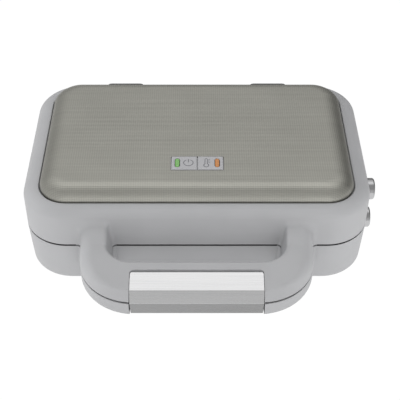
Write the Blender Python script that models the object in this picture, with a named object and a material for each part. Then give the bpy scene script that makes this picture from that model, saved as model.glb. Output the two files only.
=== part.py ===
"""Two-slice sandwich maker with a hinged lid, as an assembly of separate pieces.

The figures below are millimetres in a design frame: X across, Y from front (-) to back (+), Z up, X = 0 on the plane
that halves the body, Z = 0 on the table. The empty called frame moves that design frame so that the object's origin is
the bottom centre of its bounding box, and every vertex is written in metres.
"""

import math

import bmesh
import bpy

for old in list(bpy.data.objects):
    bpy.data.objects.remove(old, do_unlink=True)

MM = 0.001

# ---------------------------------------------------------------- driving dimensions, in millimetres
BODY_W, BODY_D, BODY_R, BODY_YC = 266.6, 166.0, 34.0, 4.5     # outline of both housings at the seam
SEAM_Z = 48.0                  # level where the two halves meet
SEAM_GAP = 1.2                 # shadow gap between the housings
BASE_TOP, LID_LOW = SEAM_Z - SEAM_GAP / 2, SEAM_Z + SEAM_GAP / 2
FOOT_H = 6.0                   # the housing's underside stands this high
LOW_W, LOW_D, LOW_R = 264.4, 160.8, 33.6                       # base wall just above its bottom rounding
WALL = 2.6                     # moulded wall
SHOULDER_Z = 74.0              # the lid's side wall is upright up to here
RIM_W, RIM_D, RIM_R, RIM_Z, RIM_YC = 240.9, 145.6, 22.4, 84.2, 2.5   # window in the lid that the metal panel fills
PANEL_TOP = 95.0               # flat top of the metal panel
PANEL_T = 0.9
PLATE_W, PLATE_D, PLATE_R = 240.0, 136.0, 14.0                 # cooking plates
PLATE_T = 3.0
PLATE_GAP = 0.8                # between the two plates' rims
POCKET_DEPTH = 11.0
HINGE_Y, HINGE_Z = 97.5, 52.0  # lid axis
HINGE_X, HINGE_W = 63.0, 33.0  # each hinge's centre and width
HANDLE_HALF_W, HANDLE_FRONT, HANDLE_OUT_R = 87.2, -138.0, 42.0
GRIP_HALF_W, GRIP_REAR, GRIP_IN_R = 64.0, -108.0, 15.0         # the finger opening
CLIP_HALF_W = 48.4             # latch clip
CLIP_T = 1.3
LATCH_Y, LATCH_Z, KNUCKLE_R = -118.14, 58.10, 1.7              # latch axis
BUTTON_Y, BUTTON_R, BUTTON_OUT = -30.0, 8.5, 139.8
BUTTON_RISE = 15.0             # each release button's centre, above or below the seam
BUTTON_TRAVEL = 3.0
FACE_GAP = 0.3                 # between pieces that touch

X_MIN, X_MAX = -BODY_W / 2, BUTTON_OUT
Y_MIN, Y_MAX = HANDLE_FRONT, 105.5
SHIFT = (-(X_MIN + X_MAX) / 2, -(Y_MIN + Y_MAX) / 2, 0.0)

# ---------------------------------------------------------------- materials


def material(name, colour, roughness, metallic=0.0):
    m = bpy.data.materials.new(name)
    m.use_nodes = True
    shader = m.node_tree.nodes["Principled BSDF"]
    shader.inputs["Base Color"].default_value = (*colour, 1.0)
    shader.inputs["Roughness"].default_value = roughness
    shader.inputs["Metallic"].default_value = metallic
    return m


GREY = material("grey_housing", (0.46, 0.46, 0.48), 0.45)
METAL = material("textured_panel", (0.45, 0.45, 0.42), 0.35, 1.0)
BRIGHT = material("bright_metal", (0.75, 0.75, 0.76), 0.25, 1.0)
DARK = material("dark_plastic", (0.08, 0.08, 0.085), 0.5)
COATED = material("coated_aluminium", (0.16, 0.16, 0.165), 0.4, 0.3)
PRESSED = material("pressed_aluminium", (0.7, 0.7, 0.7), 0.35, 1.0)
SHEATH = material("element_sheath", (0.25, 0.23, 0.2), 0.45, 1.0)
STEEL = material("steel", (0.55, 0.55, 0.56), 0.3, 1.0)
RUBBER = material("rubber", (0.05, 0.05, 0.05), 0.8)
BOARD = material("circuit_board", (0.1, 0.25, 0.12), 0.5)
BEZEL = material("indicator_bezel", (0.6, 0.6, 0.62), 0.4)
GREEN = material("green_lens", (0.2, 0.75, 0.15), 0.2)
AMBER = material("amber_lens", (0.95, 0.4, 0.08), 0.2)
CERAMIC = material("ceramic_block", (0.8, 0.78, 0.72), 0.6)

# ---------------------------------------------------------------- frame and joint axes


def empty(name, at, parent=None, parent_at=(0.0, 0.0, 0.0)):
    e = bpy.data.objects.new(name, None)
    bpy.context.scene.collection.objects.link(e)
    e.parent = parent
    e.location = [(a - b) * MM for a, b in zip(at, parent_at)]
    e["at"] = list(at)
    return e


FRAME = bpy.data.objects.new("frame", None)
bpy.context.scene.collection.objects.link(FRAME)
FRAME.location = [s * MM for s in SHIFT]
FRAME["at"] = [0.0, 0.0, 0.0]
LID = empty("lid_axis", (0.0, HINGE_Y, HINGE_Z), FRAME)
LATCH = empty("latch_axis", (0.0, LATCH_Y, LATCH_Z), LID, (0.0, HINGE_Y, HINGE_Z))
BASE_BUTTON = empty("base_release_axis", (132.0, BUTTON_Y, SEAM_Z - BUTTON_RISE), FRAME)
LID_BUTTON = empty("lid_release_axis", (132.0, BUTTON_Y, SEAM_Z + BUTTON_RISE), LID, (0.0, HINGE_Y, HINGE_Z))

# ---------------------------------------------------------------- shape helpers


def solid(name, verts, faces, mat, parent=FRAME, helper=False, sharp=32):
    """One closed body from points in the design frame. Its origin is the middle of its own box."""
    lo = [min(v[k] for v in verts) for k in range(3)]
    hi = [max(v[k] for v in verts) for k in range(3)]
    at = [(a + b) / 2 for a, b in zip(lo, hi)]
    mesh = bpy.data.meshes.new(name)
    mesh.from_pydata([[(v[k] - at[k]) * MM for k in range(3)] for v in verts], [], faces)
    bm = bmesh.new()
    bm.from_mesh(mesh)
    bmesh.ops.recalc_face_normals(bm, faces=bm.faces)
    bm.to_mesh(mesh)
    bm.free()
    if mat:
        mesh.materials.append(mat)
    obj = bpy.data.objects.new(name, mesh)
    bpy.context.scene.collection.objects.link(obj)
    base = parent["at"]
    obj.parent = parent
    obj.location = [(at[k] - base[k]) * MM for k in range(3)]
    mesh.shade_smooth()
    mesh.set_sharp_from_angle(angle=math.radians(sharp))
    if helper:
        obj.hide_render = True
        obj.display_type = "WIRE"
    return obj


def ring(w, d, r, z, n=6, yc=BODY_YC, xc=0.0):
    """Rounded rectangle at height z, anticlockwise seen from above, n steps in each corner."""
    pts = []
    for sx, sy, a0 in ((1, -1, -90), (1, 1, 0), (-1, 1, 90), (-1, -1, 180)):
        for i in range(n + 1):
            a = math.radians(a0 + 90 * i / n)
            pts.append((xc + sx * (w / 2 - r) + r * math.cos(a), yc + sy * (d / 2 - r) + r * math.sin(a), z))
    return pts


def loft(name, loops, mat, parent=FRAME, closed=False, helper=False, sharp=32):
    """Skins equal loops in turn. Open lofts get a flat cap at each end; a closed one joins its last loop to its first."""
    m = len(loops[0])
    verts = [p for loop in loops for p in loop]
    faces = []
    for i in range(len(loops) if closed else len(loops) - 1):
        j = (i + 1) % len(loops)
        for k in range(m):
            l = (k + 1) % m
            faces.append((i * m + k, i * m + l, j * m + l, j * m + k))
    if not closed:
        faces.append(tuple(reversed(range(m))))
        faces.append(tuple((len(loops) - 1) * m + k for k in range(m)))
    return solid(name, verts, faces, mat, parent, helper, sharp)


def circle(axis, c, r, n=16, turn=0.5):
    """n points of a circle about an axis through c, anticlockwise seen from the axis's tip."""
    out = []
    for i in range(n):
        a = 2 * math.pi * (i + turn) / n
        u, v = r * math.cos(a), r * math.sin(a)
        out.append({"x": (c[0], c[1] + u, c[2] + v), "y": (c[0] + v, c[1], c[2] + u), "z": (c[0] + u, c[1] + v, c[2])}[axis])
    return out


def turned(name, axis, c, steps, mat, parent=FRAME, n=16, helper=False, closed=False):
    """A turned piece: steps are (distance along the axis from c, radius), in order up the outside."""
    k = "xyz".index(axis)
    loops = []
    for s, r in steps:
        at = list(c)
        at[k] += s
        loops.append(circle(axis, at, r, n))
    return loft(name, loops, mat, parent, closed=closed, helper=helper)


def block(name, lo, hi, mat, parent=FRAME, helper=False):
    x0, y0, z0 = lo
    x1, y1, z1 = hi
    verts = [(x0, y0, z0), (x1, y0, z0), (x1, y1, z0), (x0, y1, z0), (x0, y0, z1), (x1, y0, z1), (x1, y1, z1), (x0, y1, z1)]
    faces = [(3, 2, 1, 0), (4, 5, 6, 7), (0, 1, 5, 4), (1, 2, 6, 5), (2, 3, 7, 6), (3, 0, 4, 7)]
    return solid(name, verts, faces, mat, parent, helper)


def prism_x(name, profile, x0, x1, mat, parent=FRAME, helper=False, sharp=32):
    """Extrudes a (y, z) outline along X."""
    loops = [[(x, y, z) for y, z in profile] for x in (x0, x1)]
    return loft(name, loops, mat, parent, helper=helper, sharp=sharp)


def boolean(obj, other, operation):
    mod = obj.modifiers.new(operation.lower() + "_" + other.name, "BOOLEAN")
    mod.operation = operation
    mod.object = other
    mod.solver = "EXACT"
    return obj


def cut(obj, *others):
    for o in others:
        boolean(obj, o, "DIFFERENCE")


def join(obj, *others):
    for o in others:
        boolean(obj, o, "UNION")


def sweep(name, sections, mat, parent=FRAME, helper=False, sharp=40):
    return loft(name, sections, mat, parent, helper=helper, sharp=sharp)


def tube(name, pts, r, mat, parent=FRAME, sides=8):
    """A bent rod along points, with flat ends, kept square to its path."""
    loops = []
    prev = None
    for i, p in enumerate(pts):
        a = pts[max(i - 1, 0)]
        b = pts[min(i + 1, len(pts) - 1)]
        t = [b[k] - a[k] for k in range(3)]
        n = math.sqrt(sum(x * x for x in t))
        t = [x / n for x in t]
        if prev is None:
            up = (0.0, 0.0, 1.0) if abs(t[2]) < 0.9 else (1.0, 0.0, 0.0)
        else:
            up = prev
        dot = sum(up[k] * t[k] for k in range(3))
        u = [up[k] - dot * t[k] for k in range(3)]
        n = math.sqrt(sum(x * x for x in u))
        u = [x / n for x in u]
        v = [t[1] * u[2] - t[2] * u[1], t[2] * u[0] - t[0] * u[2], t[0] * u[1] - t[1] * u[0]]
        prev = u
        loops.append([tuple(p[k] + r * (math.cos(2 * math.pi * j / sides) * u[k] + math.sin(2 * math.pi * j / sides) * v[k]) for k in range(3)) for j in range(sides)])
    return loft(name, loops, mat, parent)


def smooth(t):
    t = min(1.0, max(0.0, t))
    return t * t * (3 - 2 * t)


# ---------------------------------------------------------------- the handle: one U in plan, split at the seam
ARC_OUT = (-(HANDLE_HALF_W - HANDLE_OUT_R), HANDLE_FRONT + HANDLE_OUT_R)
ARC_IN = (-(GRIP_HALF_W - GRIP_IN_R), GRIP_REAR + GRIP_IN_R)
RECESS_X = CLIP_HALF_W + 0.5


def handle_stations(first_y, recess=True):
    """Stations along the U as (outer point, inner point, share of the way from arm to bar, recessed for the clip)."""
    left = []
    ys = [first_y, -79.5, -86.5] if first_y > -79.5 else [first_y, -86.5]
    for y in ys:
        left.append(((-HANDLE_HALF_W, y), (-GRIP_HALF_W, y), 0.0, False))
    for i in range(7):
        a = math.radians(180 + 90 * i / 7)
        left.append(((ARC_OUT[0] + HANDLE_OUT_R * math.cos(a), ARC_OUT[1] + HANDLE_OUT_R * math.sin(a)),
                     (ARC_IN[0] + GRIP_IN_R * math.cos(a), ARC_IN[1] + GRIP_IN_R * math.sin(a)), i / 7, False))
    left.append(((-RECESS_X, HANDLE_FRONT + 0.1), (-RECESS_X, GRIP_REAR), 1.0, False))
    if recess:
        left.append(((-RECESS_X + 0.02, HANDLE_FRONT), (-RECESS_X + 0.02, GRIP_REAR), 1.0, True))
    return left + [((-o[0], o[1]), (-i[0], i[1]), q, f) for o, i, q, f in reversed(left)]


def arm_top(y):
    """Height of the upper arm's crest: it falls from the lid's wall towards the bar."""
    return 70.4 - 4.6 * smooth((-79.5 - y) / 21.5)


def arm_low(y):
    return 30.0 + 3.4 * smooth((-79.5 - y) / 21.5)


def section(station, arm, bar, bar_recessed=None):
    """Places a cross-section: arm(y) and bar are lists of (distance in from the outer edge, z); distances past half the
    width are counted from the inner edge as negative numbers."""
    (ox, oy), (ix, iy), q, recessed = station
    width = math.hypot(ix - ox, iy - oy)
    ux, uy = (ix - ox) / width, (iy - oy) / width
    s = smooth(q)
    chosen = bar_recessed if recessed and bar_recessed else bar
    pts = []
    for (da, za), (db, zb) in zip(arm(oy), chosen):
        da = da if da >= 0 else width + da
        db = db if db >= 0 else width + db
        if da == width and db == width:
            d = width
        else:
            d = da * (1 - s) + db * s
        pts.append((ox + ux * d, oy + uy * d, za * (1 - s) + zb * s))
    return pts


W_ARM = HANDLE_HALF_W - GRIP_HALF_W
W_BAR = GRIP_REAR - HANDLE_FRONT
UPPER_BAR = [(0, LID_LOW), (0.5, 49.2), (2.1, 51.2), (4.1, 53.7), (6.4, 55.8), (13.5, 58.2), (17.5, 59.42), (17.7, 59.48), (21.8, 60.72), (22.0, 60.78),
             (W_BAR - 2.4, 62.1), (W_BAR - 0.7, 61.2), (W_BAR, 59.0), (W_BAR, LID_LOW)]
UPPER_BAR_RECESSED = [(2.35, LID_LOW), (2.9, 49.3), (4.2, 50.95), (5.6, 52.7), (7.0, 54.25), (13.9, 56.45), (17.3, 57.35), (17.6, 55.8), (21.9, 55.8), (22.0, 60.78),
                      (W_BAR - 2.4, 62.1), (W_BAR - 0.7, 61.2), (W_BAR, 59.0), (W_BAR, LID_LOW)]


def upper_arm(y):
    t = arm_top(y)
    return [(0, LID_LOW), (0, t - 9.5), (0.9, t - 5.6), (3.0, t - 2.2), (6.2, t - 0.6), (10.0, t), (13.0, t), (13.4, t), (17.6, t - 0.1), (17.9, t - 0.15),
            (W_ARM - 4.6, t - 1.0), (W_ARM - 3.0, t - 3.0), (W_ARM - 2.3, t - 6.2), (W_ARM, LID_LOW)]


def upper_hollow_arm(y):
    t = arm_top(y)
    return [(2.0, LID_LOW - 1), (2.0, 50.6), (3.4, 50.6), (3.4, t - 10.5), (6.6, t - 4.2), (W_ARM - 8.0, t - 4.2), (W_ARM - 5.8, t - 7.5), (W_ARM - 3.6, 50.6), (W_ARM - 2.0, 50.6), (W_ARM - 2.0, LID_LOW - 1)]


UPPER_HOLLOW_BAR = [(5.3, LID_LOW - 1), (5.3, 50.6), (8.2, 50.6), (9.2, 51.6), (13.0, 53.2), (W_BAR - 5.0, 54.0), (W_BAR - 3.4, 53.0), (W_BAR - 3.4, 50.6), (W_BAR - 2.0, 50.6), (W_BAR - 2.0, LID_LOW - 1)]

LOWER_BAR = [(0, BASE_TOP), (0, 45.4), (0, 41.4), (0.1, 38.0), (1.0, 35.7), (3.8, 33.9), (W_BAR - 4.5, 33.4), (W_BAR - 1.6, 34.6), (W_BAR, 37.4), (W_BAR, BASE_TOP)]
LOWER_BAR_RECESSED = [(7.0, BASE_TOP), (7.0, 45.4), (7.0, 41.4), (7.0, 37.4), (10.6, 37.0), (10.8, 33.75), (W_BAR - 4.5, 33.4), (W_BAR - 1.6, 34.6), (W_BAR, 37.4), (W_BAR, BASE_TOP)]


def lower_arm(y):
    b = arm_low(y)
    return [(0, BASE_TOP), (0, b + 10.0), (0, b + 6.4), (0.6, b + 3.2), (2.2, b + 1.1), (5.4, b), (W_ARM - 5.0, b), (W_ARM - 1.6, b + 1.4), (W_ARM, b + 5.0), (W_ARM, BASE_TOP)]


def lower_hollow_arm(y):
    b = arm_low(y)
    return [(2.0, BASE_TOP + 1), (2.0, 45.4), (3.6, 45.4), (3.8, b + 9.0), (6.5, b + 3.4), (W_ARM - 6.0, b + 3.4), (W_ARM - 3.6, b + 6.5), (W_ARM - 3.6, 45.4), (W_ARM - 2.0, 45.4), (W_ARM - 2.0, BASE_TOP + 1)]


LOWER_HOLLOW_BAR = [(9.0, BASE_TOP + 1), (9.0, 45.4), (12.8, 45.4), (13.0, 38.5), (13.6, 37.2), (W_BAR - 5.0, 37.0), (W_BAR - 3.6, 39.0), (W_BAR - 3.6, 45.4), (W_BAR - 2.0, 45.4), (W_BAR - 2.0, BASE_TOP + 1)]


def strip(d0a, d1a, d0b, d1b, z0, z1):
    """A flat strip's section for the handle covers."""
    arm = lambda y: [(d0a, z0), (W_ARM - d1a, z0), (W_ARM - d1a, z1), (d0a, z1)]
    bar = [(d0b, z0), (W_BAR - d1b, z0), (W_BAR - d1b, z1), (d0b, z1)]
    return arm, bar


# ---------------------------------------------------------------- base: housing with the lower half of the handle
base_housing = loft("base_housing", [
    ring(LOW_W - 21.0, LOW_D - 21.0, LOW_R - 9.0, FOOT_H), ring(LOW_W - 10.4, LOW_D - 10.4, LOW_R - 4.6, FOOT_H + 0.9), ring(LOW_W - 3.0, LOW_D - 3.0, LOW_R - 1.4, FOOT_H + 3.6),
    ring(LOW_W, LOW_D, LOW_R, FOOT_H + 7.4), ring(BODY_W, BODY_D, BODY_R, BASE_TOP),
    ring(BODY_W - 2 * WALL, BODY_D - 2 * WALL, BODY_R - WALL, BASE_TOP), ring(LOW_W - 2 * WALL, LOW_D - 2 * WALL, LOW_R - WALL, FOOT_H + 7.8),
    ring(LOW_W - 14.0, LOW_D - 14.0, LOW_R - 6.0, FOOT_H + 3.2)], GREY)
lower_half = sweep("lower_half", [section(s, lower_arm, LOWER_BAR, LOWER_BAR_RECESSED) for s in handle_stations(-76.6)], GREY, helper=True)
lower_hollow = sweep("lower_hollow", [section(s, lower_hollow_arm, LOWER_HOLLOW_BAR) for s in handle_stations(-81.0, False)], GREY, helper=True)
join(base_housing, lower_half)
cut(base_housing, lower_hollow)
arm, bar = strip(2.3, 2.3, 9.3, 2.3, BASE_TOP - 1.6, BASE_TOP)
sweep("lower_handle_cover", [section(s, arm, bar) for s in handle_stations(-81.4, False)], DARK)

SCREW_X, SCREW_DY = 113.0, 61.0
CORNERS = [(sx * SCREW_X, BODY_YC + sy * SCREW_DY) for sx in (-1, 1) for sy in (-1, 1)]
CORNER_NAMES = ["front_left", "rear_left", "front_right", "rear_right"]
for name, (x, y) in zip(CORNER_NAMES, CORNERS):
    boss = turned("base_boss_" + name, "z", (x, y, 0), [(FOOT_H + 0.6, 4.6), (42.8, 4.0)], GREY, n=12, helper=True)
    join(base_housing, boss)
for name, (x, y) in zip(CORNER_NAMES, CORNERS):
    bore = turned("base_bore_" + name, "z", (x, y, 0), [(FOOT_H - 1, 3.6), (FOOT_H + 4.0, 3.6), (FOOT_H + 4.01, 1.95), (44.0, 1.95)], GREY, n=12, helper=True)
    cut(base_housing, bore)
base_button_hole = turned("base_button_hole", "x", (120.0, BUTTON_Y, SEAM_Z - BUTTON_RISE), [(2.0, BUTTON_R + 0.5), (20.0, BUTTON_R + 0.5)], GREY, n=24, helper=True)
cut(base_housing, base_button_hole)
GLAND_X, GLAND_Z = 0.0, 24.0
gland_hole = turned("gland_hole", "y", (GLAND_X, 80.0, GLAND_Z), [(0.0, 5.6), (12.0, 5.6)], GREY, n=16, helper=True)
cut(base_housing, gland_hole)

# Rubber bush that the mains lead passes through; the lead itself is not part of this model.
GLAND_Y = BODY_YC + BODY_D / 2
turned("cord_gland", "y", (GLAND_X, GLAND_Y, GLAND_Z), [(-9.0, 3.6), (-9.0, 7.4), (-6.4, 7.4), (-6.4, 5.2), (-1.2, 5.2), (-1.2, 7.6), (2.0, 7.2), (10.0, 5.4), (10.0, 3.6)],
       RUBBER, n=14, closed=True)

for name, (x, y) in zip(CORNER_NAMES, CORNERS):
    fx, fy = (abs(x) - 25.0) * (1 if x > 0 else -1), BODY_YC + (49.0 if y > BODY_YC else -49.0)
    turned("foot_" + name, "z", (fx, fy, 0), [(0.0, 7.6), (0.8, 8.6), (4.6, 9.4), (FOOT_H - FACE_GAP, 9.4)], RUBBER, n=16)
    screw = turned("base_screw_" + name, "z", (x, y, 0), [(FOOT_H + 1.6, 3.1), (FOOT_H + 3.6, 3.1), (FOOT_H + 3.61, 1.5), (40.0, 1.5), (41.6, 0.5)], STEEL, n=10)
    slot = block("base_slot_" + name, (x - 2.2, y - 0.4, FOOT_H), (x + 2.2, y + 0.4, FOOT_H + 2.6), STEEL, helper=True)
    slot_b = block("base_slot_b_" + name, (x - 0.4, y - 2.2, FOOT_H), (x + 0.4, y + 2.2, FOOT_H + 2.6), STEEL, helper=True)
    join(slot, slot_b)
    cut(screw, slot)

# ---------------------------------------------------------------- inner frames that hold the plates


def plate_frame(name, up, parent):
    """Ring between housing and plate. up is 1 for the base, -1 for the lid, where everything is mirrored in the seam."""
    z = lambda v: SEAM_Z + up * (v - SEAM_Z)
    w, d, r = BODY_W - 2 * WALL - 0.8, BODY_D - 2 * WALL - 0.8, BODY_R - WALL - 0.4
    loops = [ring(w - 1.6, d - 1.6, r - 0.8, z(43.4)), ring(w, d, r, z(46.6)), ring(PLATE_W + 1.2, PLATE_D + 1.2, PLATE_R + 0.6, z(46.6)), ring(PLATE_W + 1.2, PLATE_D + 1.2, PLATE_R + 0.6, z(44.2)),
             ring(237.2, 133.2, 30.6, z(44.2)), ring(237.2, 133.2, 30.6, z(43.4))]
    if up < 0:
        loops.reverse()
    frame = loft(name, loops, DARK, parent, closed=True)
    # guide wall for the release slider
    zc = SEAM_Z - up * BUTTON_RISE
    zs = sorted((z(44.0), zc - up * 7.0))
    wall = block(name + "_guide", (119.6, BUTTON_Y - 8.0, zs[0]), (121.6, BUTTON_Y + 8.0, zs[1]), DARK, parent, helper=True)
    join(frame, wall)
    hole = turned(name + "_guide_hole", "x", (118.0, BUTTON_Y, zc), [(0.0, 2.3), (6.0, 2.3)], DARK, parent, n=12, helper=True)
    cut(frame, hole)
    for cname, (x, y) in zip(CORNER_NAMES, CORNERS):
        z0, z1 = sorted((z(43.0), z(47.0)))
        bore = turned(name + "_bore_" + cname, "z", (x, y, 0), [(z0, 1.95 if up > 0 else 1.95), (z1, 1.95)], DARK, parent, n=12, helper=True)
        cut(frame, bore)
    return frame


base_plate_frame = plate_frame("base_plate_frame", 1, FRAME)


def reflector(name, up, parent):
    """Thin pressed pan behind the element."""
    z = lambda v: SEAM_Z + up * (v - SEAM_Z)
    loops = [ring(216.0, 114.0, 24.0, z(20.0)), ring(224.0, 122.0, 27.0, z(21.6)), ring(228.0, 126.0, 29.0, z(26.0)), ring(236.0, 132.0, 30.0, z(43.0)),
             ring(234.4, 130.4, 29.2, z(43.0)), ring(226.4, 124.4, 28.2, z(26.3)), ring(222.8, 120.8, 26.4, z(22.4)), ring(215.0, 113.0, 23.6, z(20.8))]
    pan = loft(name, loops, PRESSED, parent)
    z0, z1 = sorted((SEAM_Z - up * (BUTTON_RISE + 5.0), z(44.5)))
    slot = block(name + "_slot", (108.0, BUTTON_Y - 6.5, z0), (121.0, BUTTON_Y + 6.5, z1), PRESSED, parent, helper=True)
    cut(pan, slot)
    for x in (-96.0, -84.0):
        hole = turned(name + "_lead_hole_%d" % abs(x), "z", (x, 48.0, 0.0), [(min(z(17.0), z(23.0)), 5.0), (max(z(17.0), z(23.0)), 5.0)], PRESSED, parent, n=10, helper=True)
        cut(pan, hole)
    return pan


reflector("lower_reflector", 1, FRAME)


def element_loop(name, up, parent):
    """Sheathed rod heater: one long loop behind the pockets, with cold ends that pass out through the pan."""
    z = lambda v: SEAM_Z + up * (v - SEAM_Z)
    zc = z(29.4)
    ya, yb, xr, xl = 44.0, -35.0, 84.0, -70.0
    path = [(-96.0, 48.0, z(14.5)), (-96.0, 48.0, z(19.5)), (-96.0, 47.0, z(25.0)), (-96.0, 43.5, z(28.6)), (-96.0, 38.0, zc), (-96.0, 0.0, zc), (-96.0, yb + 18.0, zc)]
    for i in range(1, 5):
        a = math.radians(180 + 90 * i / 4)
        path.append((-78.0 + 18.0 * math.cos(a), yb + 18.0 + 18.0 * math.sin(a), zc))
    path += [(0.0, yb, zc), (xr - 18.0, yb, zc)]
    for i in range(1, 5):
        a = math.radians(270 + 90 * i / 4)
        path.append((xr - 18.0 + 18.0 * math.cos(a), yb + 18.0 + 18.0 * math.sin(a), zc))
    path += [(xr, 0.0, zc), (xr, ya - 18.0, zc)]
    for i in range(1, 5):
        a = math.radians(90 * i / 4)
        path.append((xr - 18.0 + 18.0 * math.cos(a), ya - 18.0 + 18.0 * math.sin(a), zc))
    path += [(0.0, ya, zc), (-60.0, ya, zc), (-74.0, ya, zc), (-80.0, 44.6, z(28.9)), (-83.4, 46.6, z(25.6)), (-84.0, 48.0, z(20.0)), (-84.0, 48.0, z(14.5))]
    return tube(name, path, 3.0, SHEATH, parent, sides=8)


element_loop("lower_element", 1, FRAME)

# ---------------------------------------------------------------- cooking plates with cut-and-seal pockets


def triangle(pts, inset, r, z, n=3):
    """A triangle drawn in by inset and with its corners rounded to r, anticlockwise."""
    out = []
    m = len(pts)
    edges = []
    for i in range(m):
        a, b = pts[i], pts[(i + 1) % m]
        dx, dy = b[0] - a[0], b[1] - a[1]
        ln = math.hypot(dx, dy)
        nx, ny = -dy / ln, dx / ln
        edges.append((a[0] + nx * (inset + r), a[1] + ny * (inset + r), dx / ln, dy / ln, nx, ny))
    for i in range(m):
        p, q = edges[i - 1], edges[i]
        det = p[2] * q[3] - p[3] * q[2]
        t = ((q[0] - p[0]) * q[3] - (q[1] - p[1]) * q[2]) / det
        cx, cy = p[0] + p[2] * t, p[1] + p[3] * t
        a0 = math.atan2(-p[5], -p[4])
        a1 = math.atan2(-q[5], -q[4])
        while a1 < a0:
            a1 += 2 * math.pi
        for k in range(n + 1):
            a = a0 + (a1 - a0) * k / n
            out.append((cx + r * math.cos(a), cy + r * math.sin(a), z))
    return out


POCKET_X0, POCKET_X1, POCKET_HALF_D, RIDGE = 5.0, 103.0, 57.0, 3.4


def pocket_outlines():
    """The four triangles, two to each sandwich, at the plate's face."""
    out = []
    y0, y1 = BODY_YC - POCKET_HALF_D, BODY_YC + POCKET_HALF_D
    for side in (-1, 1):
        a, b = POCKET_X0, POCKET_X1
        k = RIDGE
        # The diagonal runs from the inner front corner to the outer rear corner.
        low = [(a + k, y0), (b, y0), (b, y1 - k)]
        high = [(b - k, y1), (a, y1), (a, y0 + k)]
        for tri in (low, high):
            pts = [(side * x, y) for x, y in tri]
            if side < 0:
                pts.reverse()
            out.append(pts)
    return out


def cooking_plate(name, up, parent):
    z = lambda v: SEAM_Z + up * (v - SEAM_Z)
    top = SEAM_Z - PLATE_GAP / 2
    loops = [ring(PLATE_W - 1.2, PLATE_D - 1.2, PLATE_R - 0.6, z(top - PLATE_T)), ring(PLATE_W, PLATE_D, PLATE_R, z(top - PLATE_T + 0.8)), ring(PLATE_W, PLATE_D, PLATE_R, z(top - 0.6)), ring(PLATE_W - 1.2, PLATE_D - 1.2, PLATE_R - 0.6, z(top))]
    plate = loft(name, loops if up > 0 else loops[::-1], COATED, parent)
    outs, ins = [], []
    for i, pts in enumerate(pocket_outlines()):
        outer = [triangle(pts, 0.6, 3.0, z(top - POCKET_DEPTH - 2.4)), triangle(pts, -1.6, 5.0, z(top - POCKET_DEPTH + 1.0)), triangle(pts, -2.6, 6.0, z(top - 1.4))]
        inner = [triangle(pts, 5.4, 2.2, z(top - POCKET_DEPTH)), triangle(pts, 3.4, 3.4, z(top - POCKET_DEPTH + 1.6)), triangle(pts, 0.0, 5.0, z(top - 0.5)), triangle(pts, -1.0, 5.6, z(top + 1.0))]
        outs.append(loft("%s_pan_%d" % (name, i), outer, COATED, parent, helper=True))
        ins.append(loft("%s_pocket_%d" % (name, i), inner, COATED, parent, helper=True))
    join(plate, *outs)
    # catch under the rim for the release slider, and two tabs that tuck under the frame on the other side
    yc = BUTTON_Y
    zz = lambda a, b: sorted((z(a), z(b)))
    z0, z1 = zz(35.4, top - PLATE_T + 0.6)
    leg = block(name + "_leg", (115.4, yc - 5.0, z0), (117.8, yc + 5.0, z1), COATED, parent, helper=True)
    z0, z1 = zz(35.4, 37.2)
    nose = block(name + "_nose", (112.8, yc - 5.0, z0), (115.6, yc + 5.0, z1), COATED, parent, helper=True)
    join(leg, nose)
    join(plate, leg)
    cut(plate, *ins)
    return plate


cooking_plate("lower_plate", 1, FRAME)

# ---------------------------------------------------------------- release button, slider and spring


def release(prefix, up, parent):
    zc = SEAM_Z - up * BUTTON_RISE
    c = (0.0, BUTTON_Y, zc)
    turned(prefix + "_button", "x", c, [(BUTTON_OUT - 2.4, 6.6), (125.4, 6.6), (125.4, 9.9), (126.8, 9.9), (126.8, BUTTON_R), (BUTTON_OUT - 1.4, BUTTON_R), (BUTTON_OUT - 0.4, BUTTON_R - 0.5), (BUTTON_OUT, BUTTON_R - 1.8)],
           BRIGHT, parent, n=24)
    # The slider: a round stem behind the button, with a post whose nose lies over the plate's catch.
    stem = turned(prefix + "_slider", "x", c, [(110.0, 1.9), (BUTTON_OUT - 2.7, 1.9)], DARK, parent, n=10)
    z0, z1 = sorted((zc - up * 2.0, zc + up * 6.3))
    post = block(prefix + "_post", (109.4, BUTTON_Y - 4.0, z0), (111.6, BUTTON_Y + 4.0, z1), DARK, parent, helper=True)
    z0, z1 = sorted((zc + up * 4.6, zc + up * 6.3))
    nose = block(prefix + "_nose", (111.2, BUTTON_Y - 4.0, z0), (114.2, BUTTON_Y + 4.0, z1), DARK, parent, helper=True)
    join(post, nose)
    join(stem, post)


def spring(name, up, parent):
    """Return spring between the guide wall and the inside of the button."""
    zc = SEAM_Z - up * BUTTON_RISE
    turns, per, wire, r = 4, 9, 0.5, 4.6
    x0, x1 = 122.6, BUTTON_OUT - 2.4 - 1.0
    pts = []
    for i in range(turns * per + 1):
        a = 2 * math.pi * i / per
        pts.append((x0 + (x1 - x0) * i / (turns * per), BUTTON_Y + r * math.cos(a), zc + r * math.sin(a)))
    return tube(name, pts, wire, STEEL, parent, sides=5)


release("base_release", 1, BASE_BUTTON)
spring("base_release_spring", 1, FRAME)

# ---------------------------------------------------------------- electrical pieces in the base
block("terminal_block", (-62.0, 52.0, FOOT_H + 3.6), (-30.0, 66.0, FOOT_H + 12.6), CERAMIC)
thermostat = turned("thermostat", "z", (34.0, 6.0, 0.0), [(11.4, 5.2), (13.6, 5.2), (13.6, 8.2), (19.6, 8.2)], CERAMIC, n=16)

# ---------------------------------------------------------------- hinges


def arc_profile(c, r, a0, a1, n):
    return [(c[0] + r * math.cos(math.radians(a0 + (a1 - a0) * i / n)), c[1] + r * math.sin(math.radians(a0 + (a1 - a0) * i / n))) for i in range(n + 1)]


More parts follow.
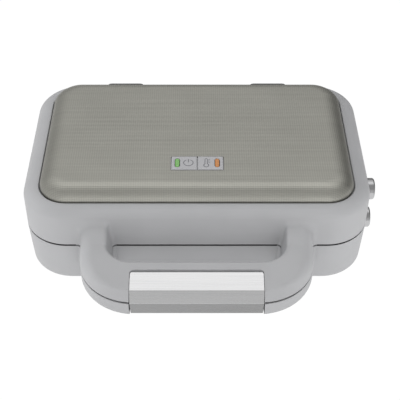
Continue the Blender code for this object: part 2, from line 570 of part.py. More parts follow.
HINGE_WALL_Y = BODY_YC + BODY_D / 2 + FACE_GAP
AXIS = (HINGE_Y, HINGE_Z)
for side, word in ((-1, "left"), (1, "right")):
    xc = side * HINGE_X
    # Base bracket: a block on the rear wall, which also serves as a foot when the object is stored upright, and a tongue up to the pin.
    bracket = prism_x("hinge_bracket_" + word, [(HINGE_WALL_Y, 14.0), (103.5, 14.0), (105.5, 16.0), (105.5, 36.5), (104.0, 38.5), (99.5, 40.0), (HINGE_WALL_Y, 43.0)], xc - HINGE_W / 2, xc + HINGE_W / 2, DARK)
    tongue = prism_x("hinge_tongue_" + word, [(HINGE_WALL_Y + 1.0, 34.0), (99.3, 34.0), (99.3, 45.6)] + arc_profile(AXIS, 6.6, -60, 180, 12) + [(90.9, 44.5), (HINGE_WALL_Y + 1.0, 42.0)], xc - 8.0, xc + 8.0, DARK, helper=True)
    join(bracket, tongue)
    bore = turned("hinge_bore_" + word, "x", (xc, HINGE_Y, HINGE_Z), [(-9.0, 2.85), (9.0, 2.85)], DARK, n=14, helper=True)
    cut(bracket, bore)
    # Lid arm: a block on the lid's rear wall, forked round the tongue.
    arm_block = prism_x("hinge_arm_" + word, [(HINGE_WALL_Y, 49.42)] + arc_profile(AXIS, 6.6, 203, 360, 9) + [(104.1, 60.0), (101.8, 70.2), (100.2, 72.4), (97.6, 73.0), (HINGE_WALL_Y, 73.0)], xc - HINGE_W / 2, xc + HINGE_W / 2, DARK, LID)
    fork = prism_x("hinge_fork_" + word, arc_profile(AXIS, 7.3, 40, 180, 9) + [(HINGE_WALL_Y - 2.0, 52.0), (HINGE_WALL_Y - 2.0, 40.0), (HINGE_Y + 9.0, 40.0), (HINGE_Y + 9.0, HINGE_Z + 7.3 * math.sin(math.radians(40)))], xc - 8.5, xc + 8.5, DARK, LID, helper=True)
    cut(arm_block, fork)
    bore = turned("hinge_arm_bore_" + word, "x", (xc, HINGE_Y, HINGE_Z), [(-20.0, 2.85), (20.0, 2.85)], DARK, LID, n=14, helper=True)
    cut(arm_block, bore)
    turned("hinge_pin_" + word, "x", (xc, HINGE_Y, HINGE_Z), [(-16.4, 2.0), (-16.0, 2.5), (16.0, 2.5), (16.4, 2.0)], STEEL, n=14)

# ---------------------------------------------------------------- lid: housing with the upper half of the handle
shoulder = []
for t in (0, 24, 45, 66, 90):
    s, c = 1 - math.cos(math.radians(t)), math.sin(math.radians(t))
    shoulder.append(ring(BODY_W - (BODY_W - RIM_W) * s, BODY_D - (BODY_D - RIM_D) * s, BODY_R - (BODY_R - RIM_R) * s, SHOULDER_Z + (RIM_Z - SHOULDER_Z) * c, yc=BODY_YC + (RIM_YC - BODY_YC) * s))
lid_loops = [ring(BODY_W, BODY_D, BODY_R, LID_LOW)] + shoulder + [
    ring(RIM_W, RIM_D, RIM_R, 81.4, yc=RIM_YC), ring(230.0, 134.8, 18.0, 81.4, yc=RIM_YC), ring(230.0, 134.8, 18.0, 79.2, yc=RIM_YC), ring(252.0, 152.4, 27.6, 77.4, yc=RIM_YC + 0.9),
    ring(BODY_W - 2 * WALL, BODY_D - 2 * WALL, BODY_R - WALL, 72.6), ring(BODY_W - 2 * WALL, BODY_D - 2 * WALL, BODY_R - WALL, LID_LOW)]
lid_housing = loft("lid_housing", lid_loops, GREY, LID, closed=True)
upper_half = sweep("upper_half", [section(s, upper_arm, UPPER_BAR, UPPER_BAR_RECESSED) for s in handle_stations(-76.6)], GREY, LID, helper=True)
upper_hollow = sweep("upper_hollow", [section(s, upper_hollow_arm, UPPER_HOLLOW_BAR) for s in handle_stations(-81.0, False)], GREY, LID, helper=True)
join(lid_housing, upper_half)
for name, (x, y) in zip(CORNER_NAMES, CORNERS):
    boss = turned("lid_boss_" + name, "z", (x, y, 0), [(53.2, 4.0), (80.4, 4.8)], GREY, LID, n=12, helper=True)
    join(lid_housing, boss)
cut(lid_housing, upper_hollow)
for name, (x, y) in zip(CORNER_NAMES, CORNERS):
    bore = turned("lid_bore_" + name, "z", (x, y, 0), [(52.0, 1.95), (70.0, 1.95)], GREY, LID, n=12, helper=True)
    cut(lid_housing, bore)
    turned("lid_screw_" + name, "z", (x, y, 0), [(51.75, 1.5), (66.0, 1.5), (67.4, 0.5)], STEEL, LID, n=10)
lid_button_hole = turned("lid_button_hole", "x", (120.0, BUTTON_Y, SEAM_Z + BUTTON_RISE), [(2.0, BUTTON_R + 0.5), (20.0, BUTTON_R + 0.5)], GREY, LID, n=24, helper=True)
cut(lid_housing, lid_button_hole)
pin_bore = turned("pin_bore", "x", (0.0, LATCH_Y, LATCH_Z), [(-52.2, 1.05), (52.2, 1.05)], GREY, LID, n=12, helper=True)
cut(lid_housing, pin_bore)
arm, bar = strip(2.3, 2.3, 5.6, 2.3, LID_LOW, LID_LOW + 1.6)
sweep("upper_handle_cover", [section(s, arm, bar) for s in handle_stations(-81.4, False)], DARK, LID)

# Textured metal panel: a pressing whose edge drops into the lid's window.
PW, PD, PR = RIM_W - 0.9, RIM_D - 0.9, RIM_R - 0.45
SLOPE = [(0.0, 84.3), (0.9, 86.6), (2.8, 89.4), (5.6, 91.8), (9.0, 93.6), (12.6, 94.7), (16.0, PANEL_TOP)]


def panel_ring(inset, z, grow=0.0):
    """The panel's sides slope over 16 mm at each end and 12.4 mm at front and rear."""
    iw, idp = inset, inset * 12.4 / 16.0
    return ring(PW - 2 * iw - 2 * grow, PD - 2 * idp - 2 * grow, max(PR - inset * 0.72 - grow, 4.0), z, yc=RIM_YC)


outer = [panel_ring(0.0, 81.8)] + [panel_ring(i, z) for i, z in SLOPE]
inner = [panel_ring(0.0, 81.8, PANEL_T)] + [panel_ring(i, z - PANEL_T * (0.35 + 0.65 * i / 16.0), PANEL_T * (1 - i / 16.0)) for i, z in SLOPE[::2]]
lid_panel = loft("lid_panel", inner[::-1] + outer, METAL, LID)
WIN_X, WIN_Y, WIN_XC, WIN_YC = 39.4, 15.4, 0.4, -37.2
window = block("indicator_window", (WIN_XC - WIN_X / 2 - 0.5, WIN_YC - WIN_Y / 2 - 0.5, 90.0), (WIN_XC + WIN_X / 2 + 0.5, WIN_YC + WIN_Y / 2 + 0.5, 99.0), METAL, LID, helper=True)
cut(lid_panel, window)

# Indicator: bezel, two lenses, and a small board with the lamps below.
bezel = loft("indicator_bezel", [ring(WIN_X + 5, WIN_Y + 5, 2.0, 91.4, 2, WIN_YC, WIN_XC), ring(WIN_X + 5, WIN_Y + 5, 2.0, 93.6, 2, WIN_YC, WIN_XC), ring(WIN_X, WIN_Y, 0.9, 93.61, 2, WIN_YC, WIN_XC),
                                 ring(WIN_X, WIN_Y, 0.9, 95.3, 2, WIN_YC, WIN_XC), ring(WIN_X - 0.6, WIN_Y - 0.6, 0.6, 95.6, 2, WIN_YC, WIN_XC)], BEZEL, LID)
LENS_X, LENS_W, LENS_D = 15.2, 3.2, 9.6
for side, word, mat in ((-1, "power", GREEN), (1, "ready", AMBER)):
    lens_x = WIN_XC + side * LENS_X
    hole = loft(word + "_lens_hole", [ring(LENS_W + 0.6, LENS_D + 0.6, 1.8, z, 3, WIN_YC, lens_x) for z in (90.0, 97.0)], BEZEL, LID, helper=True)
    cut(bezel, hole)
    loft(word + "_lens", [ring(LENS_W, LENS_D, 1.5, 91.6, 4, WIN_YC, lens_x), ring(LENS_W, LENS_D, 1.5, 95.5, 4, WIN_YC, lens_x), ring(LENS_W - 0.8, LENS_D - 0.8, 1.1, 96.0, 4, WIN_YC, lens_x)], mat, LID)
    turned(word + "_lamp", "z", (lens_x, WIN_YC, 0.0), [(86.3, 1.5), (89.6, 1.5), (90.9, 0.9)], CERAMIC, LID, n=10)
groove = block("bezel_groove", (WIN_XC - 0.45, WIN_YC - 10.0, 94.9), (WIN_XC + 0.45, WIN_YC + 10.0, 97.0), BEZEL, LID, helper=True)
cut(bezel, groove)
block("indicator_board", (-22.0, WIN_YC - 9.5, 84.4), (22.0, WIN_YC + 9.5, 86.0), BOARD, LID)

plate_frame("lid_plate_frame", -1, LID)
reflector("upper_reflector", -1, LID)
element_loop("upper_element", -1, LID)
cooking_plate("upper_plate", -1, LID)
turned("thermal_fuse", "x", (10.0, 10.0, 78.6), [(0.0, 1.0), (1.0, 2.0), (15.0, 2.0), (16.0, 1.0)], CERAMIC, LID, n=10)
release("lid_release", -1, LID_BUTTON)
spring("lid_release_spring", -1, LID)

# ---------------------------------------------------------------- latch clip: wraps the handle's bar and turns on a pin at its rear edge
t0 = 105.6
knuckle = [(LATCH_Y + KNUCKLE_R * math.cos(math.radians(a)), LATCH_Z + KNUCKLE_R * math.sin(math.radians(a))) for a in [t0 - i * 25.0 for i in range(12)]]
outside = [(-133.9, 34.2), (-137.75, 47.35), (-138.0, 48.3), (-137.4, 49.06), (-132.3, 55.5), (-131.3, 56.28), (-124.5, 58.15)]
inside = [(-119.9, 58.1), (-124.3, 56.85), (-131.05, 55.01), (-136.56, 48.02), (-132.6, 34.3)]
hook = [(-131.4, 33.8), (-131.5, 32.4), (-133.2, 32.5)]
latch_clip = prism_x("latch_clip", outside + knuckle[:10] + inside + hook, -CLIP_HALF_W, CLIP_HALF_W, BRIGHT, LATCH)
clip_bore = turned("clip_bore", "x", (0.0, LATCH_Y, LATCH_Z), [(-50.0, 1.0), (50.0, 1.0)], BRIGHT, LATCH, n=12, helper=True)
cut(latch_clip, clip_bore)
turned("latch_pin", "x", (0.0, LATCH_Y, LATCH_Z), [(-51.8, 0.7), (51.8, 0.7)], STEEL, LID, n=10)
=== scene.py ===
"""Looks of the two-slice sandwich maker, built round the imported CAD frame.

Shapes are written in the CAD's design millimetres (X across, Y from front to back, Z up, X = 0 on the plane that halves
the body) and put into the row frame in metres by put().
"""

import math

import bmesh
import bpy
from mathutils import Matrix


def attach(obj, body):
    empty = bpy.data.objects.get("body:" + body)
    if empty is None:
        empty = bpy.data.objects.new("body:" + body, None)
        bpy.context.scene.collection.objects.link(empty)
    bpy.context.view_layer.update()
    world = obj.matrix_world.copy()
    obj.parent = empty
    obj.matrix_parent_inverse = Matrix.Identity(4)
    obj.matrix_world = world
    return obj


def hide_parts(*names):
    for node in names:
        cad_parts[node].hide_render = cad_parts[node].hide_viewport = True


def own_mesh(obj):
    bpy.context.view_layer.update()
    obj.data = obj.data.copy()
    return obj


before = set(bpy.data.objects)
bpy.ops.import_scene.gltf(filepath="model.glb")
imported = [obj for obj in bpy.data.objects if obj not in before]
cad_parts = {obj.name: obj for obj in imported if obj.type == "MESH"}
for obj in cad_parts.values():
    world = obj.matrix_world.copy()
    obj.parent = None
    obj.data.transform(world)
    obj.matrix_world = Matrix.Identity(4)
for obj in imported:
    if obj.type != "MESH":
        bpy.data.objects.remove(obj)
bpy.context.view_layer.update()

SHIFT_X, SHIFT_Y = -3.25, 16.25


def put(p):
    return ((p[0] + SHIFT_X) * 0.001, (p[1] + SHIFT_Y) * 0.001, p[2] * 0.001)


# ---------------------------------------------------------------- sizes, as in the CAD
BODY_W, BODY_D, BODY_R, BODY_YC = 266.6, 166.0, 34.0, 4.5
SEAM_Z = 48.0
BASE_TOP, LID_LOW = 47.2, 48.8
FOOT_H = 6.0
LOW_W, LOW_D, LOW_R = 264.4, 160.8, 33.6
WALL = 2.6
SHOULDER_Z = 74.0
RIM_W, RIM_D, RIM_R, RIM_Z, RIM_YC = 240.9, 145.6, 22.4, 84.2, 2.5
PANEL_TOP = 95.0
PLATE_W, PLATE_D, PLATE_R, PLATE_T, PLATE_GAP, POCKET_DEPTH = 240.0, 136.0, 14.0, 3.0, 0.8, 11.0
HINGE_Y, HINGE_Z, HINGE_X, HINGE_W = 97.5, 52.0, 63.0, 33.0
HANDLE_HALF_W, HANDLE_FRONT, HANDLE_OUT_R = 87.2, -138.0, 42.0
GRIP_HALF_W, GRIP_REAR, GRIP_IN_R = 64.0, -108.0, 15.0
CLIP_HALF_W = 48.4
LATCH_Y, LATCH_Z, KNUCKLE_R = -118.14, 58.10, 1.7
BUTTON_Y, BUTTON_R, BUTTON_OUT, BUTTON_RISE = -30.0, 8.5, 139.8, 15.0
SCREW_X, SCREW_DY = 113.0, 61.0
CORNERS = [(sx * SCREW_X, BODY_YC + sy * SCREW_DY) for sx in (-1, 1) for sy in (-1, 1)]
CORNER_NAMES = ["front_left", "rear_left", "front_right", "rear_right"]
WALL_FRONT = BODY_YC - BODY_D / 2
WIN_X, WIN_Y, WIN_XC, WIN_YC = 39.4, 15.4, 0.4, -37.2
LENS_X, LENS_W, LENS_D = 15.2, 3.2, 9.6

# ---------------------------------------------------------------- mesh helpers


def add(name, verts, faces):
    mesh = bpy.data.meshes.new(name)
    mesh.from_pydata([put(v) for v in verts], [], faces)
    bm = bmesh.new()
    bm.from_mesh(mesh)
    bmesh.ops.recalc_face_normals(bm, faces=bm.faces)
    bm.to_mesh(mesh)
    bm.free()
    obj = bpy.data.objects.new(name, mesh)
    bpy.context.scene.collection.objects.link(obj)
    return obj


def ring(w, d, r, z, n=16, yc=BODY_YC, xc=0.0):
    """Rounded rectangle at height z, anticlockwise seen from above, with n steps in each corner."""
    pts = []
    for sx, sy, a0 in ((1, -1, -90), (1, 1, 0), (-1, 1, 90), (-1, -1, 180)):
        for i in range(n + 1):
            a = math.radians(a0 + 90 * i / n)
            pts.append((xc + sx * (w / 2 - r) + r * math.cos(a), yc + sy * (d / 2 - r) + r * math.sin(a), z))
    return pts


def loft(name, loops, closed=False):
    m = len(loops[0])
    verts = [p for loop in loops for p in loop]
    faces = []
    for i in range(len(loops) if closed else len(loops) - 1):
        j = (i + 1) % len(loops)
        for k in range(m):
            l = (k + 1) % m
            faces.append((i * m + k, i * m + l, j * m + l, j * m + k))
    if not closed:
        faces.append(tuple(reversed(range(m))))
        faces.append(tuple((len(loops) - 1) * m + k for k in range(m)))
    return add(name, verts, faces)


def circle(axis, c, r, n=48, turn=0.5):
    out = []
    for i in range(n):
        a = 2 * math.pi * (i + turn) / n
        u, v = r * math.cos(a), r * math.sin(a)
        out.append({"x": (c[0], c[1] + u, c[2] + v), "y": (c[0] + v, c[1], c[2] + u), "z": (c[0] + u, c[1] + v, c[2])}[axis])
    return out


def turned(name, axis, c, steps, n=48, closed=False):
    k = "xyz".index(axis)
    loops = []
    for s, r in steps:
        at = list(c)
        at[k] += s
        loops.append(circle(axis, at, r, n))
    return loft(name, loops, closed=closed)


def block(name, lo, hi):
    x0, y0, z0 = lo
    x1, y1, z1 = hi
    verts = [(x0, y0, z0), (x1, y0, z0), (x1, y1, z0), (x0, y1, z0), (x0, y0, z1), (x1, y0, z1), (x1, y1, z1), (x0, y1, z1)]
    return add(name, verts, [(3, 2, 1, 0), (4, 5, 6, 7), (0, 1, 5, 4), (1, 2, 6, 5), (2, 3, 7, 6), (3, 0, 4, 7)])


def prism_x(name, profile, xs):
    return loft(name, [[(x, y, z) for y, z in profile] for x in xs])


def tube(name, pts, r, sides=12, cyclic=False):
    """A round rod along points, square to its path."""
    loops, prev, count = [], None, len(pts)
    for i, p in enumerate(pts):
        a = pts[i - 1] if (i or cyclic) else pts[0]
        b = pts[(i + 1) % count] if (i + 1 < count or cyclic) else pts[-1]
        t = [b[k] - a[k] for k in range(3)]
        n = math.sqrt(sum(x * x for x in t))
        t = [x / n for x in t]
        up = prev or ((0.0, 0.0, 1.0) if abs(t[2]) < 0.9 else (1.0, 0.0, 0.0))
        dot = sum(up[k] * t[k] for k in range(3))
        u = [up[k] - dot * t[k] for k in range(3)]
        n = math.sqrt(sum(x * x for x in u))
        u = [x / n for x in u]
        v = [t[1] * u[2] - t[2] * u[1], t[2] * u[0] - t[0] * u[2], t[0] * u[1] - t[1] * u[0]]
        prev = u
        loops.append([tuple(p[k] + r * (math.cos(2 * math.pi * j / sides) * u[k] + math.sin(2 * math.pi * j / sides) * v[k]) for k in range(3)) for j in range(sides)])
    return loft(name, loops, closed=cyclic)


def rounded(pts, radii, steps=6):
    """A closed polygon whose corner i is rounded to radii[i], always with the same number of points."""
    out, m = [], len(pts)
    for i in range(m):
        p, a, b, r = pts[i], pts[i - 1], pts[(i + 1) % m], radii[i]
        if r <= 0:
            out.append(p)
            continue
        ua = ((a[0] - p[0]), (a[1] - p[1]))
        ub = ((b[0] - p[0]), (b[1] - p[1]))
        la, lb = math.hypot(*ua), math.hypot(*ub)
        ua, ub = (ua[0] / la, ua[1] / la), (ub[0] / lb, ub[1] / lb)
        cosine = max(-1.0, min(1.0, ua[0] * ub[0] + ua[1] * ub[1]))
        half = math.acos(cosine) / 2
        t = r / math.tan(half)
        bis = (ua[0] + ub[0], ua[1] + ub[1])
        lbis = math.hypot(*bis)
        c = (p[0] + bis[0] / lbis * r / math.sin(half), p[1] + bis[1] / lbis * r / math.sin(half))
        s = (p[0] + ua[0] * t, p[1] + ua[1] * t)
        e = (p[0] + ub[0] * t, p[1] + ub[1] * t)
        a0, a1 = math.atan2(s[1] - c[1], s[0] - c[0]), math.atan2(e[1] - c[1], e[0] - c[0])
        while a1 - a0 > math.pi:
            a1 -= 2 * math.pi
        while a1 - a0 < -math.pi:
            a1 += 2 * math.pi
        for k in range(steps + 1):
            q = a0 + (a1 - a0) * k / steps
            out.append((c[0] + r * math.cos(q), c[1] + r * math.sin(q)))
    return out


def drop_membranes(bm):
    """Removes patches that a union left inside the solid: small, and bounded only by edges that three faces share."""
    if not any(len(e.link_faces) == 3 for e in bm.edges):
        return
    seen, doomed = set(), []
    for start in bm.faces:
        if start in seen:
            continue
        seen.add(start)
        region, rim, stack = [], True, [start]
        while stack:
            f = stack.pop()
            region.append(f)
            for e in f.edges:
                if len(e.link_faces) == 2:
                    for other in e.link_faces:
                        if other not in seen:
                            seen.add(other)
                            stack.append(other)
                elif len(e.link_faces) != 3:
                    rim = False
        if rim and len(region) < len(bm.faces) // 4 and sum(f.calc_area() for f in region) < 9e-4:
            doomed += region
    bmesh.ops.delete(bm, geom=doomed, context="FACES")


def solve(obj, *pairs):
    """Runs exact booleans on obj, (operation, other) in turn, and removes the others."""
    for op, other in pairs:
        mod = obj.modifiers.new("b", "BOOLEAN")
        mod.operation = {"+": "UNION", "-": "DIFFERENCE", "&": "INTERSECT"}[op]
        mod.object = other
        mod.solver = "EXACT"
        other.hide_render = True
    dg = bpy.context.evaluated_depsgraph_get()
    dg.update()
    mesh = bpy.data.meshes.new_from_object(obj.evaluated_get(dg))
    obj.modifiers.clear()
    old, obj.data = obj.data, mesh
    bpy.data.meshes.remove(old)
    for op, other in pairs:
        data = other.data
        bpy.data.objects.remove(other)
        bpy.data.meshes.remove(data)
    bm = bmesh.new()
    bm.from_mesh(mesh)
    bmesh.ops.remove_doubles(bm, verts=bm.verts, dist=1e-6)
    bmesh.ops.dissolve_degenerate(bm, edges=bm.edges, dist=1e-6)
    drop_membranes(bm)
    bmesh.ops.triangulate(bm, faces=[f for f in bm.faces if len(f.verts) > 4], ngon_method="BEAUTY")
    bm.to_mesh(mesh)
    bm.free()
    return obj


def bevel(obj, width_mm, angle=40, segments=2):
    mod = obj.modifiers.new("edge", "BEVEL")
    mod.width = width_mm * 0.001
    mod.segments = segments
    mod.limit_method = "ANGLE"
    mod.angle_limit = math.radians(angle)
    return solve(obj)


def piece(obj, name, body, mat, stands_for=(), sharp=34, weighted=True):
    obj.name = name
    obj.data.name = name
    obj.data.materials.clear()
    obj.data.materials.append(mat)
    obj.data.shade_smooth()
    obj.data.set_sharp_from_angle(angle=math.radians(sharp))
    if weighted:
        mod = obj.modifiers.new("normals", "WEIGHTED_NORMAL")
        mod.keep_sharp = True
        mod.weight = 50
    if stands_for:
        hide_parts(*([stands_for] if isinstance(stands_for, str) else stands_for))
    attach(obj, body)
    return obj


def smooth(t):
    t = min(1.0, max(0.0, t))
    return t * t * (3 - 2 * t)


# ---------------------------------------------------------------- materials


class Mat:
    """A Principled material with small helpers for its procedural nodes."""

    def __init__(self, name, base, rough, metal=0.0, **sockets):
        self.m = bpy.data.materials.new(name)
        self.m.use_nodes = True
        self.t = self.m.node_tree
        self.s = self.t.nodes["Principled BSDF"]
        self.base = base
        self.s.inputs["Base Color"].default_value = (*base, 1.0)
        self.s.inputs["Roughness"].default_value = rough
        self.s.inputs["Metallic"].default_value = metal
        for key, value in sockets.items():
            self.s.inputs[key.replace("_", " ")].default_value = value
        self.coord = self.t.nodes.new("ShaderNodeTexCoord")
        self.mm = self.math_v("SCALE", self.coord.outputs["Object"], scale=1000.0)

    def link(self, a, b):
        self.t.links.new(a, b)

    def node(self, kind, **props):
        n = self.t.nodes.new(kind)
        for key, value in props.items():
            setattr(n, key, value)
        return n

    def feed(self, socket, value):
        if hasattr(value, "links"):
            self.link(value, socket)
        else:
            socket.default_value = value

    def math(self, op, a, b=0.0, c=0.0, clamp=False):
        n = self.node("ShaderNodeMath", operation=op, use_clamp=clamp)
        for i, v in enumerate((a, b, c)):
            self.feed(n.inputs[i], v)
        return n.outputs[0]

    def math_v(self, op, a, b=(0, 0, 0), scale=1.0):
        n = self.node("ShaderNodeVectorMath", operation=op)
        self.feed(n.inputs[0], a)
        if op != "SCALE":
            self.feed(n.inputs[1], b)
        else:
            n.inputs["Scale"].default_value = scale
        return n.outputs[0]

    def xyz(self, v=None):
        n = self.node("ShaderNodeSeparateXYZ")
        self.link(self.mm if v is None else v, n.inputs[0])
        return n.outputs

    def noise(self, scale, detail=2.0, rough=0.5, stretch=None):
        """Noise whose features are about 1/scale mm across; stretch multiplies the coordinates."""
        n = self.node("ShaderNodeTexNoise", noise_dimensions="3D")
        v = self.mm if stretch is None else self.math_v("MULTIPLY", self.mm, stretch)
        self.link(v, n.inputs["Vector"])
        n.inputs["Scale"].default_value = scale
        n.inputs["Detail"].default_value = detail
        n.inputs["Roughness"].default_value = rough
        return n.outputs["Fac"]

    def span(self, v, a0, a1, b0, b1, kind="LINEAR"):
        n = self.node("ShaderNodeMapRange", interpolation_type=kind)
        self.link(v, n.inputs["Value"])
        for key, value in zip(("From Min", "From Max", "To Min", "To Max"), (a0, a1, b0, b1)):
            n.inputs[key].default_value = value
        return n.outputs["Result"]

    def mix(self, fac, a, b):
        n = self.node("ShaderNodeMix", data_type="RGBA")
        self.feed(n.inputs["Factor"], fac)
        for socket, v in ((n.inputs["A"], a), (n.inputs["B"], b)):
            pass
        for socket, v in ((n.inputs[6], a), (n.inputs[7], b)):
            if hasattr(v, "links"):
                self.link(v, socket)
            else:
                socket.default_value = (*v, 1.0)
        return n.outputs[2]

    def tint(self, fac, low, high):
        """Base colour from low times base where fac is 0 to high times base where it is 1."""
        lo = tuple(c * low for c in self.base)
        hi = tuple(c * high for c in self.base)
        out = self.mix(fac, lo, hi)
        self.link(out, self.s.inputs["Base Color"])
        return out

    def colour(self, out):
        self.link(out, self.s.inputs["Base Color"])

    def rough(self, out):
        self.link(out, self.s.inputs["Roughness"])

    def bump(self, height, mm, strength=1.0):
        n = self.node("ShaderNodeBump")
        n.inputs["Strength"].default_value = strength
        n.inputs["Distance"].default_value = mm * 0.001
        self.link(height, n.inputs["Height"])
        self.link(n.outputs["Normal"], self.s.inputs["Normal"])


def plastic_satin(name, base, rough, grain_mm=0.012, specular=0.5):
    m = Mat(name, base, rough, **{"Specular_IOR_Level": specular})
    broad = m.noise(0.035, 2.0)
    m.tint(m.span(broad, 0.35, 0.65, 0.0, 1.0), 0.985, 1.015)
    fine = m.noise(2.6, 3.0, 0.6)
    m.rough(m.span(fine, 0.3, 0.7, rough - 0.04, rough + 0.05))
    if grain_mm:
        m.bump(fine, grain_mm)
    return m.m


HOUSING = plastic_satin("satin_grey_plastic", (0.425, 0.427, 0.437), 0.47, 0.0, 0.42)
DARK = plastic_satin("dark_plastic", (0.030, 0.030, 0.032), 0.46, 0.018)
HINGE = plastic_satin("hinge_plastic", (0.055, 0.055, 0.058), 0.44, 0.018)
BUTTON_BODY = plastic_satin("dark_slider_plastic", (0.022, 0.022, 0.024), 0.5, 0.018)


def panel_metal():
    m = Mat("embossed_metal", (0.50, 0.495, 0.446), 0.36, 0.85)
    x, y, z = m.xyz()
    # Surface distance across the rolled edges, so that the emboss keeps its pitch where the pressing turns down.
    def along(v, centre, start, length, extra):
        off = m.math("SUBTRACT", v, centre)
        side = m.math("SIGN", off)
        t = m.math("DIVIDE", m.math("MAXIMUM", m.math("SUBTRACT", m.math("ABSOLUTE", off), start), 0.0), length)
        return m.math("ADD", off, m.math("MULTIPLY", side, m.math("MULTIPLY", m.math("POWER", t, 4.0), extra)))
    u = along(x, SHIFT_X, 104.0, 16.0, 5.5)
    v = along(y, SHIFT_Y + RIM_YC, 60.0, 12.4, 5.5)
    pitch = 1.75
    a = m.math("SINE", m.math("MULTIPLY", m.math("ADD", u, v), math.pi / pitch))
    b = m.math("SINE", m.math("MULTIPLY", m.math("SUBTRACT", u, v), math.pi / pitch))
    dots = m.math("MULTIPLY", a, b)
    lines = m.noise(1.0, 3.0, 0.62, (0.012, 0.36, 0.05))
    broad = m.noise(0.02, 1.5)
    # The colour follows the emboss height: dot tops lighter and hollows darker, a painted shade of the emboss. Added to
    # it are streaks along X and a broad random tone.
    painted_emboss_shade_and_tone = m.math("ADD", m.span(lines, 0.3, 0.7, -0.5, 0.5), m.span(dots, -1.0, 1.0, -0.85, 0.85))
    painted_emboss_shade_and_tone = m.math("ADD", painted_emboss_shade_and_tone, m.span(broad, 0.3, 0.7, -0.25, 0.25))
    m.tint(m.span(painted_emboss_shade_and_tone, -1.4, 1.4, 0.0, 1.0), 0.84, 1.16)
    m.rough(m.span(dots, -1.0, 1.0, 0.42, 0.33))
    m.bump(m.math("ADD", m.span(dots, -1.0, 1.0, 0.0, 1.0), m.span(lines, 0.3, 0.7, 0.0, 0.12)), 0.10)
    return m.m


def brushed(name, base, rough, streak=(0.02, 1.6, 1.6), depth=0.004, spread=0.05, low=0.94, high=1.05, aniso=0.0):
    m = Mat(name, base, rough, 1.0, Anisotropic=aniso)
    lines = m.noise(1.0, 4.0, 0.65, streak)
    m.tint(m.span(lines, 0.3, 0.7, 0.0, 1.0), low, high)
    m.rough(m.span(lines, 0.3, 0.7, rough + spread, rough - spread))
    m.bump(lines, depth)
    return m.m


PANEL = panel_metal()
CLIP = brushed("brushed_aluminium", (0.86, 0.86, 0.865), 0.26, (0.015, 1.3, 1.3), 0.0015, 0.03, 0.97, 1.02)
CHROME = brushed("satin_chrome", (0.62, 0.62, 0.63), 0.18, (0.05, 0.9, 0.9), 0.001, 0.03, 0.97, 1.02)
STEEL = brushed("steel", (0.50, 0.50, 0.51), 0.30, (0.4, 0.4, 0.4), 0.002, 0.06)
PRESSED = brushed("pressed_aluminium", (0.62, 0.62, 0.63), 0.36, (0.05, 0.9, 0.9), 0.004, 0.06)


def coating():
    m = Mat("non_stick_coating", (0.040, 0.040, 0.042), 0.40, 0.0, **{"Specular_IOR_Level": 0.55})
    fine = m.noise(1.9, 2.0, 0.5)
    fleck = m.node("ShaderNodeTexVoronoi", feature="F1")
    m.link(m.mm, fleck.inputs["Vector"])
    fleck.inputs["Scale"].default_value = 0.85
    spot = m.span(fleck.outputs["Distance"], 0.10, 0.17, 1.0, 0.0)
    keep = m.node("ShaderNodeSeparateColor")
    m.link(fleck.outputs["Color"], keep.inputs[0])
    spot = m.math("MULTIPLY", spot, m.math("GREATER_THAN", keep.outputs[0], 0.45))
    ground = m.mix(m.span(fine, 0.3, 0.7, 0.0, 1.0), (0.034, 0.034, 0.036), (0.050, 0.050, 0.053))
    m.colour(m.mix(m.math("MULTIPLY", spot, 0.55), ground, (0.30, 0.30, 0.31)))
    m.rough(m.span(fine, 0.3, 0.7, 0.36, 0.48))
    m.bump(fine, 0.02)
    return m.m


def sheath():
    m = Mat("element_sheath", (0.22, 0.20, 0.17), 0.42, 1.0)
    n = m.noise(0.06, 3.0, 0.6)
    m.colour(m.mix(m.span(n, 0.35, 0.65, 0.0, 1.0), (0.10, 0.085, 0.075), (0.34, 0.29, 0.22)))
    m.rough(m.span(m.noise(1.5, 2.0), 0.3, 0.7, 0.36, 0.52))
    m.bump(m.noise(2.5, 2.0), 0.01)
    return m.m


def rubber():
    m = Mat("rubber", (0.028, 0.028, 0.029), 0.78, 0.0, **{"Specular_IOR_Level": 0.3})
    n = m.noise(2.0, 3.0, 0.6)
    m.tint(m.span(n, 0.3, 0.7, 0.0, 1.0), 0.85, 1.2)
    m.bump(n, 0.03)
    return m.m


def ceramic():
    m = Mat("ceramic", (0.72, 0.70, 0.64), 0.55)
    n = m.noise(1.2, 3.0, 0.6)
    m.tint(m.span(n, 0.3, 0.7, 0.0, 1.0), 0.93, 1.04)
    m.bump(n, 0.02)
    return m.m


def board():
    m = Mat("circuit_board", (0.045, 0.16, 0.07), 0.45)
    n = m.noise(0.9, 2.0)
    m.tint(m.span(n, 0.4, 0.6, 0.0, 1.0), 0.8, 1.15)
    m.bump(n, 0.01)
    return m.m


def glass(name, base, glow, strength):
    """Moulded lens with a faint, even glow painted in as emission; the lamp glass under it gives no light."""
    m = Mat(name, base, 0.22, 0.0, **{"Specular_IOR_Level": 0.55, "Coat_Weight": 0.3, "Coat_Roughness": 0.08})
    n = m.noise(0.9, 2.0)
    m.tint(m.span(n, 0.3, 0.7, 0.0, 1.0), 0.94, 1.06)
    m.s.inputs["Emission Color"].default_value = (*glow, 1.0)
    m.s.inputs["Emission Strength"].default_value = strength
    m.bump(n, 0.004)
    return m.m


COATING, SHEATH, RUBBER, CERAMIC, BOARD = coating(), sheath(), rubber(), ceramic(), board()
# The lenses' emission is a painted glow, not light from the lamps under them.
GREEN = glass("green_lens", (0.20, 0.43, 0.14), (0.30, 0.95, 0.16), 0.05)
AMBER = glass("amber_lens", (0.52, 0.22, 0.075), (1.0, 0.42, 0.10), 0.06)
LAMP = glass("lamp_glass", (0.75, 0.75, 0.72), (1.0, 1.0, 0.95), 0.0)
BEZEL = plastic_satin("bezel_silver", (0.46, 0.46, 0.475), 0.38, 0.008)
INK = plastic_satin("icon_ink", (0.13, 0.13, 0.145), 0.5, 0.006)

